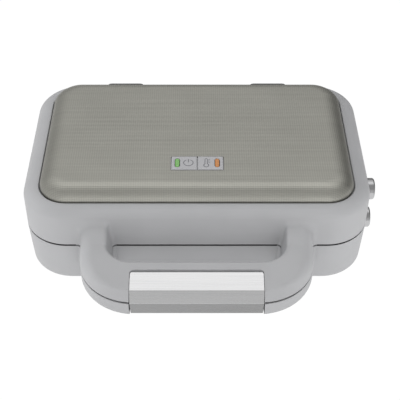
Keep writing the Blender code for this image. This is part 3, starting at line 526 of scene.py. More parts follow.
# ---------------------------------------------------------------- handle: one U in plan, split at the seam
ARC_OUT = (-(HANDLE_HALF_W - HANDLE_OUT_R), HANDLE_FRONT + HANDLE_OUT_R)
ARC_IN = (-(GRIP_HALF_W - GRIP_IN_R), GRIP_REAR + GRIP_IN_R)
W_ARM = HANDLE_HALF_W - GRIP_HALF_W
W_BAR = GRIP_REAR - HANDLE_FRONT
ROOT_OUT, ROOT_IN = 5.0, 2.6


def flare(y, r):
    """How far a fillet of radius r between the handle and the front wall has spread at y."""
    d = WALL_FRONT - y
    if d >= r:
        return 0.0
    d = max(d, 0.0)
    return r - math.sqrt(max(r * r - (r - d) ** 2, 0.0))


def stations(first_y, root=True):
    """(outer point, inner point, share of the way from arm to bar, y of the arm, spread outside, inside)."""
    ys = [first_y]
    if root:
        ys += [WALL_FRONT - v for v in (0.0, 0.12, 0.4, 0.85, 1.45, 2.1, 2.9, 3.9, 5.0)]
    ys += [-86.5, -90.0, -93.0]
    left = []
    for y in ys:
        fo, fi = (flare(y, ROOT_OUT), flare(y, ROOT_IN)) if root else (0.0, 0.0)
        left.append(((-HANDLE_HALF_W - fo, y), (-GRIP_HALF_W + fi, y), 0.0, y, fo))
    n = 26
    for i in range(n + 1):
        a = math.radians(180 + 85.0 * i / n)
        o = (ARC_OUT[0] + HANDLE_OUT_R * math.cos(a), ARC_OUT[1] + HANDLE_OUT_R * math.sin(a))
        left.append((o, (ARC_IN[0] + GRIP_IN_R * math.cos(a), ARC_IN[1] + GRIP_IN_R * math.sin(a)), i / n, o[1], 0.0))
    left.append(((-47.0, HANDLE_FRONT + 0.035), (-49.4, GRIP_REAR), 1.0, HANDLE_FRONT, 0.0))
    left.append(((-43.0, HANDLE_FRONT), (-43.0, GRIP_REAR), 1.0, HANDLE_FRONT, 0.0))
    return left + [((-o[0], o[1]), (-i[0], i[1]), q, y, f) for o, i, q, y, f in reversed(left)]


def place(station, section):
    (ox, oy), (ix, iy), q, y, spread = station
    width = math.hypot(ix - ox, iy - oy)
    ux, uy = (ix - ox) / width, (iy - oy) / width
    return [(ox + ux * d, oy + uy * d, z) for d, z in section(width, smooth(q), y, spread)]


def mixed(a, b, s):
    return a * (1 - s) + b * s


def arm_top(y):
    return 70.4 - 4.6 * smooth((-79.5 - y) / 21.5)


def arm_low(y):
    return 30.0 + 3.4 * smooth((-79.5 - y) / 21.5)


def upper_section(width, s, y, spread):
    t = arm_top(y) + spread
    low = LID_LOW + 0.004
    pts = [(0.0, low), (mixed(0.0, 5.6, s), mixed(t, 55.7, s)), (width - mixed(3.2, 0.7, s), mixed(t - 0.4, 62.8, s)), (width, low)]
    radii = [0.3, mixed(11.0, 2.4, s), mixed(3.4, 2.4, s), 0.3]
    return rounded(pts, radii, 9)


def lower_section(width, s, y, spread):
    b = arm_low(y) - spread
    high = BASE_TOP - 0.004
    pts = [(0.0, high), (0.0, mixed(b, 33.5, s)), (width, mixed(b, 33.4, s)), (width, high)]
    radii = [0.3, mixed(6.2, 5.2, s), mixed(4.8, 4.4, s), 0.3]
    return rounded(pts, radii, 8)


def strip(out_arm, in_arm, out_bar, in_bar, z0, z1, r=0.3):
    def section(width, s, y, spread):
        d0, d1 = mixed(out_arm, out_bar, s), width - mixed(in_arm, in_bar, s)
        return rounded([(d0, z0), (d1, z0), (d1, z1), (d0, z1)], [r] * 4, 2)
    return section


def handle(name, section, first_y=-76.8, root=True):
    return loft(name, [place(s, section) for s in stations(first_y, root)])


# ---------------------------------------------------------------- latch clip, and the seat cut for it
t0 = 105.6
knuckle = [(LATCH_Y + KNUCKLE_R * math.cos(math.radians(t0 - i * 12.5)), LATCH_Z + KNUCKLE_R * math.sin(math.radians(t0 - i * 12.5))) for i in range(19)]
CLIP_OUT = [(-133.9, 34.2), (-138.02, 48.0), (-132.5, 55.85), (-124.5, 58.15)]
CLIP_IN = [(-119.9, 58.1), (-124.3, 56.85), (-131.05, 55.01), (-136.56, 48.02), (-132.6, 34.3)]
CLIP_HOOK = [(-131.4, 33.8), (-131.5, 32.4), (-133.2, 32.5)]


def plan(name, half_w, y_front, y_rear, r, z0, z1):
    """Upright prism with square front corners and rear corners rounded to r."""
    pts = rounded([(-half_w, y_front), (half_w, y_front), (half_w, y_rear), (-half_w, y_rear)], [0, 0, r, r], 10)
    return loft(name, [[(x, y, z) for x, y in pts] for z in (z0, z1)])


def make_clip():
    outline = rounded(CLIP_OUT, [0.4, 0.7, 0.8, 0], 4)[:-1] + [(-124.5, 58.15)] + knuckle + CLIP_IN + CLIP_HOOK
    body = prism_x("clip", outline, (-CLIP_HALF_W, CLIP_HALF_W))
    shape = plan("clip_plan", CLIP_HALF_W, -145.0, LATCH_Y + KNUCKLE_R + 0.02, 4.0, 25.0, 70.0)
    bore = turned("clip_bore", "x", (0, LATCH_Y, LATCH_Z), [(-52.0, 0.85), (52.0, 0.85)], 20)
    return bevel(solve(body, ("&", shape), ("-", bore)), 0.28, 38, 2)


def seat_cutter():
    """What is cut from the upper half of the handle so that the clip lies in it."""
    prof = [(-150.0, 40.0), (-135.7, 40.0), (-135.7, 48.55), (-131.0, 54.25), (-124.1, 56.45), (-120.6, 57.2), (-120.35, 55.8), (-116.0, 55.8), (-116.0, 66.0), (-150.0, 66.0)]
    body = prism_x("seat", prof, (-CLIP_HALF_W - 0.6, CLIP_HALF_W + 0.6))
    return solve(body, ("&", plan("seat_plan", CLIP_HALF_W + 0.45, -152.0, LATCH_Y + KNUCKLE_R + 0.45, 3.2, 20.0, 80.0)))


# ---------------------------------------------------------------- housings


SEAM_EDGE, SEAM_LIP = 0.2, 0.45


def edge_steps(r, n=3):
    """(inset, rise) along a rounded edge, from the flat to the wall."""
    return [(r - r * math.sin(math.radians(90.0 * i / n)), r - r * math.cos(math.radians(90.0 * i / n))) for i in range(n + 1)]


def make_lid():
    loops = []
    for inset, rise in edge_steps(SEAM_EDGE):
        loops.append(ring(BODY_W - 2 * inset, BODY_D - 2 * inset, BODY_R - inset, LID_LOW + rise))
    loops.append(ring(BODY_W, BODY_D, BODY_R, 62.0))
    lip = 0.8
    full = (BODY_W - RIM_W) / 2
    steps = 16
    last = math.acos(lip / full) if lip < full else 0.0
    for i in range(steps + 1):
        t = last * i / steps
        s, c = 1 - math.cos(t), math.sin(t)
        loops.append(ring(BODY_W - (BODY_W - RIM_W) * s, BODY_D - (BODY_D - RIM_D) * s, BODY_R - (BODY_R - RIM_R) * s, SHOULDER_Z + (RIM_Z - SHOULDER_Z) * c, yc=BODY_YC + (RIM_YC - BODY_YC) * s))
    top = SHOULDER_Z + (RIM_Z - SHOULDER_Z) * math.sin(last)
    for k in range(1, 5):
        a = math.radians(90.0 * k / 4)
        out = lip * (1 - math.sin(a))
        loops.append(ring(RIM_W + 2 * out, RIM_D + 2 * out * 0.9, RIM_R + out, top - lip * (1 - math.cos(a)), yc=RIM_YC))
    loops += [ring(RIM_W, RIM_D, RIM_R, 83.3, yc=RIM_YC), ring(RIM_W + 1.0, RIM_D + 1.0, RIM_R + 0.5, 82.9, yc=RIM_YC), ring(RIM_W + 1.0, RIM_D + 1.0, RIM_R + 0.5, 80.4, yc=RIM_YC), ring(230.0, 134.8, 18.0, 80.4, yc=RIM_YC), ring(230.0, 134.8, 18.0, 78.4, yc=RIM_YC), ring(251.6, 152.0, 27.4, 77.0, yc=RIM_YC + 0.9),
              ring(BODY_W - 2 * WALL, BODY_D - 2 * WALL, BODY_R - WALL, 72.6), ring(BODY_W - 2 * WALL, BODY_D - 2 * WALL, BODY_R - WALL, LID_LOW + 1.8), ring(BODY_W - 2 * SEAM_LIP, BODY_D - 2 * SEAM_LIP, BODY_R - SEAM_LIP, LID_LOW + 1.8),
              ring(BODY_W - 2 * SEAM_LIP, BODY_D - 2 * SEAM_LIP, BODY_R - SEAM_LIP, LID_LOW)]
    shell = loft("lid_shell", loops, closed=True)
    pairs = [("+", handle("upper_half", upper_section))]
    for name, (x, y) in zip(CORNER_NAMES, CORNERS):
        pairs.append(("+", turned("boss_" + name, "z", (x, y, 0), [(53.2, 4.0), (80.4, 4.8)], 24)))
    pairs.append(("-", handle("channel", strip(2.2, 2.2, 5.5, 2.2, LID_LOW - 2.0, LID_LOW + 1.75), -81.0, False)))
    pairs.append(("-", handle("rebate", strip(0.75, 0.75, 2.0, 0.75, LID_LOW - 2.1, LID_LOW + 0.9), -80.6, False)))
    pairs.append(("-", seat_cutter()))
    pairs.append(("-", turned("pin_bore", "x", (0, LATCH_Y, LATCH_Z), [(-52.2, 1.05), (52.2, 1.05)], 20)))
    for name, (x, y) in zip(CORNER_NAMES, CORNERS):
        pairs.append(("-", turned("bore_" + name, "z", (x, y, 0), [(52.0, 1.95), (70.0, 1.95)], 20)))
    pairs.append(("-", turned("hole", "x", (120.0, BUTTON_Y, SEAM_Z + BUTTON_RISE), [(2.0, BUTTON_R + 0.5), (20.0, BUTTON_R + 0.5)], 56)))
    return solve(shell, *pairs)


def make_base():
    loops = [ring(LOW_W - 60.0, LOW_D - 60.0, 12.0, FOOT_H)]
    for i in range(11):
        a = math.radians(90 - 9.0 * i)
        inset = 10.5 * (1 - math.cos(a))
        loops.append(ring(LOW_W - 2 * inset, LOW_D - 2 * inset, LOW_R - 0.87 * inset, FOOT_H + 7.4 * (1 - math.sin(a))))
    for z in (21.7, 30.3, 38.7):
        k = (z - FOOT_H - 7.4) / (BASE_TOP - FOOT_H - 7.4)
        loops.append(ring(mixed(LOW_W, BODY_W, k), mixed(LOW_D, BODY_D, k), mixed(LOW_R, BODY_R, k), z))
    for inset, rise in reversed(edge_steps(SEAM_EDGE)):
        loops.append(ring(BODY_W - 2 * inset, BODY_D - 2 * inset, BODY_R - inset, BASE_TOP - rise))
    loops += [ring(BODY_W - 2 * SEAM_LIP, BODY_D - 2 * SEAM_LIP, BODY_R - SEAM_LIP, BASE_TOP), ring(BODY_W - 2 * SEAM_LIP, BODY_D - 2 * SEAM_LIP, BODY_R - SEAM_LIP, BASE_TOP - 2.6), ring(BODY_W - 2 * WALL, BODY_D - 2 * WALL, BODY_R - WALL, BASE_TOP - 2.6),
              ring(LOW_W - 2 * WALL, LOW_D - 2 * WALL, LOW_R - WALL, FOOT_H + 7.8), ring(LOW_W - 14.0, LOW_D - 14.0, LOW_R - 6.0, FOOT_H + 3.2)]
    shell = loft("base_shell", loops)
    pairs = [("+", handle("lower_half", lower_section))]
    for name, (x, y) in zip(CORNER_NAMES, CORNERS):
        pairs.append(("+", turned("boss_" + name, "z", (x, y, 0), [(FOOT_H + 0.6, 4.6), (42.8, 4.0)], 24)))
    pairs.append(("-", handle("channel", strip(2.2, 2.2, 9.2, 2.2, BASE_TOP - 1.75, BASE_TOP + 2.0), -81.0, False)))
    pairs.append(("-", handle("rebate", strip(0.75, 0.75, 0.75, 0.75, BASE_TOP - 1.4, BASE_TOP + 2.1), -80.6, False)))
    pairs.append(("-", prism_x("seat_upper", [(-150.0, 37.2), (-131.0, 37.2), (-131.0, 52.0), (-150.0, 52.0)], (-CLIP_HALF_W - 0.6, CLIP_HALF_W + 0.6))))
    pairs.append(("-", prism_x("seat_lower", [(-150.0, 28.0), (-127.3, 28.0), (-127.5, 37.0), (-129.0, 37.3), (-150.0, 37.3)], (-CLIP_HALF_W - 0.6, CLIP_HALF_W + 0.6))))
    for name, (x, y) in zip(CORNER_NAMES, CORNERS):
        pairs.append(("-", turned("bore_" + name, "z", (x, y, 0), [(FOOT_H - 1, 4.0), (FOOT_H + 0.4, 3.6), (FOOT_H + 4.0, 3.6), (FOOT_H + 4.01, 1.95), (44.0, 1.95)], 28)))
    pairs.append(("-", turned("hole", "x", (120.0, BUTTON_Y, SEAM_Z - BUTTON_RISE), [(2.0, BUTTON_R + 0.5), (20.0, BUTTON_R + 0.5)], 56)))
    pairs.append(("-", turned("gland_hole", "y", (0.0, 80.0, 24.0), [(0.0, 5.6), (12.0, 5.6)], 32)))
    return solve(shell, *pairs)


piece(make_lid(), "lid_shell", "lid", HOUSING, "lid_housing", sharp=38)
piece(make_base(), "base_shell", "base", HOUSING, "base_housing", sharp=38)
piece(make_clip(), "clip", "latch", CLIP, "latch_clip", sharp=16)
piece(handle("cover_up", strip(2.3, 2.3, 5.6, 2.3, LID_LOW, LID_LOW + 1.6), -81.4, False), "upper_cover", "lid", DARK, "upper_handle_cover")
piece(handle("cover_low", strip(2.3, 2.3, 9.3, 2.3, BASE_TOP - 1.6, BASE_TOP), -81.4, False), "lower_cover", "base", DARK, "lower_handle_cover")

# ---------------------------------------------------------------- embossed metal panel
P_GAP = 0.65
PW, PD, PR = RIM_W - 2 * P_GAP - 0.5, RIM_D - 2 * P_GAP, RIM_R - P_GAP
PANEL_FOOT = 84.3
END_ROLL, FRONT_ROLL = 16.0, 12.4


def panel_ring(share, z, grow=0.0):
    """share is 0 at the pressing's edge and 1 where the flat begins."""
    iw, idp = END_ROLL * share, FRONT_ROLL * share
    return ring(PW - 2 * iw - 2 * grow, PD - 2 * idp - 2 * grow, max(PR - 13.0 * share - grow, 3.0), z, n=18, yc=RIM_YC)


def make_panel():
    high = PANEL_TOP - PANEL_FOOT
    outer = [panel_ring(0.0, 80.9, 0.8), panel_ring(0.0, 82.9, 0.8), panel_ring(0.0, 83.4, 0.1), panel_ring(0.0, 83.7), panel_ring(0.0, PANEL_FOOT)]
    steps = 16
    for i in range(1, steps + 1):
        a = math.radians(90.0 * i / steps)
        outer.append(panel_ring(1 - math.cos(a), PANEL_FOOT + high * math.sin(a)))
    inner = [panel_ring(0.0, 80.9, 1.5), panel_ring(0.0, PANEL_FOOT - 1.2, 1.5)]
    for i in range(2, steps + 1, 2):
        a = math.radians(90.0 * i / steps)
        inner.append(panel_ring(1 - math.cos(a), PANEL_FOOT + (high - 0.9) * math.sin(a), 0.9 * math.cos(a)))
    shell = loft("panel", inner[::-1] + outer)
    hole = loft("window", [ring(WIN_X + 1.1, WIN_Y + 1.1, 1.2, z, 5, WIN_YC, WIN_XC) for z in (88.0, 99.0)])
    return solve(shell, ("-", hole))


piece(make_panel(), "metal_panel", "lid", PANEL, "lid_panel", sharp=40)

# ---------------------------------------------------------------- indicator: bezel, lenses and small line icons
loops = [ring(WIN_X + 5, WIN_Y + 5, 2.0, 91.4, 5, WIN_YC, WIN_XC), ring(WIN_X + 5, WIN_Y + 5, 2.0, 93.6, 5, WIN_YC, WIN_XC), ring(WIN_X, WIN_Y, 0.9, 93.61, 5, WIN_YC, WIN_XC)]
loops += [ring(WIN_X - 2 * (0.45 - 0.45 * math.cos(math.radians(a))), WIN_Y - 2 * (0.45 - 0.45 * math.cos(math.radians(a))), 0.9 - 0.3 * a / 90, 95.15 + 0.45 * math.sin(math.radians(a)), 5, WIN_YC, WIN_XC) for a in (0, 30, 60, 90)]
bezel = loft("bezel", loops)
cuts = [("-", loft("lens_hole", [ring(LENS_W + 0.9, LENS_D + 0.9, 2.0, z, 7, WIN_YC, WIN_XC + side * LENS_X) for z in (90.0, 97.0)])) for side in (-1, 1)]
cuts.append(("-", block("groove", (WIN_XC - 0.5, WIN_YC - 12.0, 94.0), (WIN_XC + 0.5, WIN_YC + 12.0, 97.0))))
piece(solve(bezel, *cuts), "indicator_frame", "lid", BEZEL, "indicator_bezel")
for side, word, mat, slot in ((-1, "power_lens", GREEN, "green_lens"), (1, "ready_lens", AMBER, "amber_lens")):
    loops = [ring(LENS_W, LENS_D, 1.55, 91.6, 8, WIN_YC, WIN_XC + side * LENS_X)]
    for a in (0, 22, 45, 66, 82):
        k = 0.7 * (1 - math.cos(math.radians(a)))
        loops.append(ring(LENS_W - 2 * k, LENS_D - 2 * k, 1.55 - k, 95.15 + 0.85 * math.sin(math.radians(a)), 8, WIN_YC, WIN_XC + side * LENS_X))
    piece(loft(word, loops), word + "_cap", "lid", mat, word)


def stroke(name, pts, w=0.5, z0=95.52, z1=95.67):
    """A flat raised line along plan points."""
    left, right = [], []
    for i, p in enumerate(pts):
        a, b = pts[max(i - 1, 0)], pts[min(i + 1, len(pts) - 1)]
        tx, ty = b[0] - a[0], b[1] - a[1]
        ln = math.hypot(tx, ty)
        nx, ny = -ty / ln * w / 2, tx / ln * w / 2
        left.append((p[0] + nx, p[1] + ny))
        right.append((p[0] - nx, p[1] - ny))
    loops = [[(l[0], l[1], z0), (r[0], r[1], z0), (r[0], r[1], z1), (l[0], l[1], z1)] for l, r in zip(left, right)]
    return loft(name, loops)


def arc(c, r, a0, a1, n):
    return [(c[0] + r * math.cos(math.radians(a0 + (a1 - a0) * i / n)), c[1] + r * math.sin(math.radians(a0 + (a1 - a0) * i / n))) for i in range(n + 1)]


cx = -6.4
ring_icon = stroke("ring_icon", arc((cx, WIN_YC), 3.6, 118, 422, 40))
bar_icon = stroke("bar_icon", [(cx, WIN_YC + 0.6), (cx, WIN_YC + 4.4)])
piece(solve(ring_icon, ("+", bar_icon)), "power_icon", "lid", INK, sharp=30, weighted=False)
cx = 7.2
bulb = stroke("bulb", arc((cx, WIN_YC - 3.0), 1.9, 118, 422, 30), 0.5)
stem = stroke("stem", [(cx - 0.95, WIN_YC - 1.2), (cx - 0.95, WIN_YC + 3.9)] + arc((cx, WIN_YC + 3.9), 0.95, 180, 0, 10)[1:] + [(cx + 0.95, WIN_YC - 1.2)], 0.45, 95.51, 95.66)
ticks = [("+", stroke("tick%d" % k, [(cx + 1.7, WIN_YC + 0.4 + 1.6 * k), (cx + 2.9, WIN_YC + 0.4 + 1.6 * k)], 0.4)) for k in range(3)]
piece(solve(bulb, ("+", stem), *ticks), "thermometer_icon", "lid", INK, sharp=30, weighted=False)

# ---------------------------------------------------------------- release buttons


def make_button(up):
    steps = [(BUTTON_OUT - 2.4, 6.4), (125.4, 6.4), (125.4, 9.9), (126.8, 9.9), (126.8, BUTTON_R), (BUTTON_OUT - 1.7, BUTTON_R)]
    for a in (18, 36, 54, 72, 90):
        steps.append((BUTTON_OUT - 1.7 + 1.7 * math.sin(math.radians(a)), BUTTON_R - 1.5 * (1 - math.cos(math.radians(a)))))
    steps += [(BUTTON_OUT - 0.06, 6.4), (BUTTON_OUT - 0.3, 5.9), (BUTTON_OUT - 0.42, 4.4), (BUTTON_OUT - 0.5, 2.2), (BUTTON_OUT - 0.52, 0.4)]
    return turned("button", "x", (0.0, BUTTON_Y, SEAM_Z - up * BUTTON_RISE), steps, 56)


piece(make_button(-1), "lid_button", "lid_release", CHROME, "lid_release_button", sharp=40)
piece(make_button(1), "base_button", "base_release", CHROME, "base_release_button", sharp=40)

# ---------------------------------------------------------------- plates, frames


def triangle(pts, inset, r, z, n=8):
    out, m, edges = [], len(pts), []
    for i in range(m):
        a, b = pts[i], pts[(i + 1) % m]
        dx, dy = b[0] - a[0], b[1] - a[1]
        ln = math.hypot(dx, dy)
        nx, ny = -dy / ln, dx / ln
        edges.append((a[0] + nx * (inset + r), a[1] + ny * (inset + r), dx / ln, dy / ln, nx, ny))
    for i in range(m):
        p, q = edges[i - 1], edges[i]
        det = p[2] * q[3] - p[3] * q[2]
        t = ((q[0] - p[0]) * q[3] - (q[1] - p[1]) * q[2]) / det
        cx, cy = p[0] + p[2] * t, p[1] + p[3] * t
        a0, a1 = math.atan2(-p[5], -p[4]), math.atan2(-q[5], -q[4])
        while a1 < a0:
            a1 += 2 * math.pi
        for k in range(n + 1):
            a = a0 + (a1 - a0) * k / n
            out.append((cx + r * math.cos(a), cy + r * math.sin(a), z))
    return out


def pocket_outlines():
    out = []
    a, b, k = 5.0, 103.0, 3.4
    y0, y1 = BODY_YC - 57.0, BODY_YC + 57.0
    for side in (-1, 1):
        for tri in ([(a + k, y0), (b, y0), (b, y1 - k)], [(b - k, y1), (a, y1), (a, y0 + k)]):
            pts = [(side * x, y) for x, y in tri]
            if side < 0:
                pts.reverse()
            out.append(pts)
    return out


def make_plate(name, up):
    z = lambda v: SEAM_Z + up * (v - SEAM_Z)
    top = SEAM_Z - PLATE_GAP / 2
    loops = [ring(PLATE_W - 1.2, PLATE_D - 1.2, PLATE_R - 0.6, z(top - PLATE_T), 10), ring(PLATE_W, PLATE_D, PLATE_R, z(top - PLATE_T + 0.8), 10)]
    for a in (0, 30, 60, 90):
        k = 0.9 * (1 - math.cos(math.radians(a)))
        loops.append(ring(PLATE_W - 2 * k, PLATE_D - 2 * k, PLATE_R - k, z(top - 0.9 + 0.9 * math.sin(math.radians(a))), 10))
    plate = loft(name, loops)
    outs, ins = [], []
    for i, pts in enumerate(pocket_outlines()):
        outer = [triangle(pts, 0.6, 3.0, z(top - POCKET_DEPTH - 2.4), 5), triangle(pts, -1.6, 5.0, z(top - POCKET_DEPTH + 1.0), 5), triangle(pts, -2.6, 6.0, z(top - 1.4), 5)]
        steps = [(-1.35, 1.0), (-1.25, 0.02), (-0.85, -0.06), (-0.45, -0.24), (-0.12, -0.56), (0.12, -1.0), (2.95, -8.3), (3.45, -9.3), (4.15, -10.15), (5.1, -10.72), (6.3, -10.96), (7.4, -11.0)]
        inner = [triangle(pts, inset, max(5.2 - 0.35 * max(inset, 0.0), 2.4), z(top + rise)) for inset, rise in steps]
        outs.append(("+", loft("%s_pan_%d" % (name, i), outer)))
        ins.append(("-", loft("%s_pocket_%d" % (name, i), inner)))
    zz = lambda a, b: sorted((z(a), z(b)))
    z0, z1 = zz(35.4, top - PLATE_T + 0.6)
    leg = block(name + "_leg", (115.4, BUTTON_Y - 5.0, z0), (117.8, BUTTON_Y + 5.0, z1))
    z0, z1 = zz(35.4, 37.2)
    nose = block(name + "_nose", (112.8, BUTTON_Y - 5.0, z0), (115.6, BUTTON_Y + 5.0, z1))
    return solve(plate, *outs, ("+", leg), ("+", nose), *ins)


def make_frame(name, up):
    z = lambda v: SEAM_Z + up * (v - SEAM_Z)
    w, d, r = BODY_W - 2 * WALL - 0.8, BODY_D - 2 * WALL - 0.8, BODY_R - WALL - 0.4
    loops = [ring(w - 1.6, d - 1.6, r - 0.8, z(43.4)), ring(w, d, r, z(46.2)), ring(w - 0.3, d - 0.3, r - 0.15, z(46.5)), ring(w - 0.9, d - 0.9, r - 0.45, z(46.6)),
             ring(PLATE_W + 1.8, PLATE_D + 1.8, PLATE_R + 0.9, z(46.6)), ring(PLATE_W + 1.3, PLATE_D + 1.3, PLATE_R + 0.65, z(46.4)), ring(PLATE_W + 1.2, PLATE_D + 1.2, PLATE_R + 0.6, z(44.2)), ring(237.2, 133.2, 30.6, z(44.2)), ring(237.2, 133.2, 30.6, z(43.4))]
    if up < 0:
        loops.reverse()
    out = loft(name, loops, closed=True)
    zc = SEAM_Z - up * BUTTON_RISE
    zs = sorted((z(44.0), zc - up * 7.0))
    pairs = [("+", block(name + "_guide", (119.6, BUTTON_Y - 8.0, zs[0]), (121.6, BUTTON_Y + 8.0, zs[1]))),
             ("-", turned(name + "_guide_hole", "x", (118.0, BUTTON_Y, zc), [(0.0, 2.3), (6.0, 2.3)], 20))]
    z0, z1 = sorted((z(43.0), z(47.0)))
    for x, y in CORNERS:
        pairs.append(("-", turned(name + "_bore", "z", (x, y, 0), [(z0, 1.95), (z1, 1.95)], 24)))
    return solve(out, *pairs)


piece(make_plate("lower", 1), "lower_cooking_plate", "base", COATING, "lower_plate", sharp=30)
piece(make_plate("upper", -1), "upper_cooking_plate", "lid", COATING, "upper_plate", sharp=30)
piece(make_frame("frame_low", 1), "lower_frame", "base", DARK, "base_plate_frame", sharp=30)
piece(make_frame("frame_up", -1), "upper_frame", "lid", DARK, "lid_plate_frame", sharp=30)

# ---------------------------------------------------------------- hinges
HINGE_WALL_Y = BODY_YC + BODY_D / 2 + 0.3
AXIS = (HINGE_Y, HINGE_Z)
ENDS = [(-16.5, 2.6), (-16.3, 1.7), (-15.8, 1.0), (-15.0, 0.45), (-13.8, 0.1), (-12.5, 0.0), (12.5, 0.0), (13.8, 0.1), (15.0, 0.45), (15.8, 1.0), (16.3, 1.7), (16.5, 2.6)]


def pillow(name, profile, xc, z_mid, z_half, y_far):
    """Extrudes a (y, z) outline along X with its far corners drawn in towards both ends."""
    loops = []
    for dx, k in ENDS:
        loops.append([(xc + dx, y - k * (y - HINGE_WALL_Y) / (y_far - HINGE_WALL_Y), z - k * (z - z_mid) / z_half) for y, z in profile])
    return loft(name, loops)


for side, word in ((-1, "left"), (1, "right")):
    xc = side * HINGE_X
    prof = rounded([(HINGE_WALL_Y, 14.0), (105.5, 14.0), (105.5, 38.0), (100.0, 40.2), (HINGE_WALL_Y, 43.0)], [0, 2.4, 3.0, 4.0, 0], 5)
    bracket = pillow("bracket", prof, xc, 40.0, 26.0, 105.5)
    tongue = prism_x("tongue", [(HINGE_WALL_Y + 1.0, 34.0), (99.3, 34.0), (99.3, 45.6)] + arc(AXIS, 6.6, -60, 180, 30) + [(90.9, 44.5), (HINGE_WALL_Y + 1.0, 42.0)], (xc - 8.0, xc + 8.0))
    bore = turned("bore", "x", (xc, HINGE_Y, HINGE_Z), [(-9.0, 2.85), (9.0, 2.85)], 28)
    rib_cuts = [("-", block("slot%d" % k, (xc - 11.0 + 7.6 * k - 0.5, 104.4, 18.0), (xc - 11.0 + 7.6 * k + 0.5 + 5.8, 108.0, 34.5))) for k in range(3)]
    piece(solve(bracket, ("+", tongue), ("-", bore), *rib_cuts), "hinge_base_" + word, "base", HINGE, "hinge_bracket_" + word)
    prof = [(HINGE_WALL_Y, 49.42)] + arc(AXIS, 6.6, 203, 360, 24) + [(104.1, 60.0)] + arc((99.2, 68.0), 4.4, 12, 78, 6) + [(97.6, 73.0), (HINGE_WALL_Y, 73.0)]
    arm_block = pillow("arm", prof, xc, 52.0, 21.0, 104.1)
    fork = prism_x("fork", arc(AXIS, 7.3, 40, 180, 24) + [(HINGE_WALL_Y - 2.0, 52.0), (HINGE_WALL_Y - 2.0, 40.0), (HINGE_Y + 9.0, 40.0), (HINGE_Y + 9.0, HINGE_Z + 7.3 * math.sin(math.radians(40)))], (xc - 8.5, xc + 8.5))
    bore = turned("arm_bore", "x", (xc, HINGE_Y, HINGE_Z), [(-20.0, 2.85), (20.0, 2.85)], 28)
    piece(solve(arm_block, ("-", fork), ("-", bore)), "hinge_lid_" + word, "lid", HINGE, "hinge_arm_" + word)
    piece(turned("pin", "x", (xc, HINGE_Y, HINGE_Z), [(-16.4, 1.9), (-16.25, 2.3), (-16.0, 2.5), (16.0, 2.5), (16.25, 2.3), (16.4, 1.9)], 32), "pin_" + word, "base", STEEL, "hinge_pin_" + word)

# ---------------------------------------------------------------- feet, cord gland, screws
for name, (x, y) in zip(CORNER_NAMES, CORNERS):
    fx, fy = (abs(x) - 25.0) * (1 if x > 0 else -1), BODY_YC + (49.0 if y > BODY_YC else -49.0)
    steps = [(0.9, 0.6), (0.9, 4.6), (0.6, 5.2), (0.0, 5.6), (0.0, 7.2), (0.25, 8.0), (0.9, 8.6), (4.4, 9.3), (4.9, 9.4), (FOOT_H - 0.3, 9.4)]
    piece(turned("foot", "z", (fx, fy, 0), steps, 40), "pad_" + name, "base", RUBBER, "foot_" + name)
    screw = turned("screw", "z", (x, y, 0), [(FOOT_H + 1.6, 2.6), (FOOT_H + 1.75, 2.95), (FOOT_H + 2.0, 3.1), (FOOT_H + 3.6, 3.1), (FOOT_H + 3.61, 1.5), (40.0, 1.5), (41.6, 0.5)], 28)
    slot_a = block("sa", (x - 2.2, y - 0.4, FOOT_H), (x + 2.2, y + 0.4, FOOT_H + 2.6))
    slot_b = block("sb", (x - 0.4, y - 2.2, FOOT_H), (x + 0.4, y + 2.2, FOOT_H + 2.6))
    piece(solve(screw, ("-", slot_a), ("-", slot_b)), "screw_" + name, "base", STEEL, "base_screw_" + name)
    lid_screw = turned("lid_screw", "z", (x, y, 0), [(51.75, 1.2), (51.85, 1.5), (66.0, 1.5), (67.4, 0.5)], 24)
    piece(lid_screw, "upper_screw_" + name, "lid", STEEL, "lid_screw_" + name)

GLAND_Y = BODY_YC + BODY_D / 2
steps = [(-9.0, 3.6), (-9.0, 7.4), (-6.4, 7.4), (-6.4, 5.2), (-1.2, 5.2), (-1.2, 7.2), (-0.8, 7.6), (1.4, 7.5), (2.0, 7.1)]
for k in range(4):
    s, r = 2.3 + 1.8 * k, 6.9 - 0.36 * k
    steps += [(s, r - 0.75), (s + 0.7, r - 0.85), (s + 0.85, r - 0.12), (s + 1.5, r - 0.2)]
steps += [(9.6, 5.3), (10.0, 4.9), (10.0, 3.9), (9.7, 3.6)]
piece(turned("gland", "y", (0.0, GLAND_Y, 24.0), steps, 40, closed=True), "cord_bush", "base", RUBBER, "cord_gland")

# ---------------------------------------------------------------- finishes for the CAD nodes that stay
KEPT = {
    "lower_reflector": PRESSED, "upper_reflector": PRESSED, "lower_element": SHEATH, "upper_element": SHEATH,
    "base_release_spring": STEEL, "lid_release_spring": STEEL, "terminal_block": CERAMIC, "thermostat": CERAMIC,
    "indicator_board": BOARD, "power_lamp": LAMP, "ready_lamp": LAMP, "thermal_fuse": CERAMIC, "latch_pin": STEEL,
    "lid_release_slider": BUTTON_BODY, "base_release_slider": BUTTON_BODY,
}
for node, mat in KEPT.items():
    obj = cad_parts[node]
    if obj.material_slots:
        for s in obj.material_slots:
            s.material = mat
    else:
        obj.data.materials.append(mat)

# The release springs, pushed together between their housing's wall and the button, each get a mesh of their own.
for button in ("lid_release", "base_release"):
    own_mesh(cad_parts[button + "_spring"])

# ---------------------------------------------------------------- stage, light and camera


def plain(name, colour, glow, strength):
    m = bpy.data.materials.new(name)
    m.use_nodes = True
    s = m.node_tree.nodes["Principled BSDF"]
    s.inputs["Base Color"].default_value = (*colour, 1.0)
    s.inputs["Roughness"].default_value = 0.95
    s.inputs["Specular IOR Level"].default_value = 0.0
    s.inputs["Emission Color"].default_value = (*glow, 1.0)
    s.inputs["Emission Strength"].default_value = strength
    return m


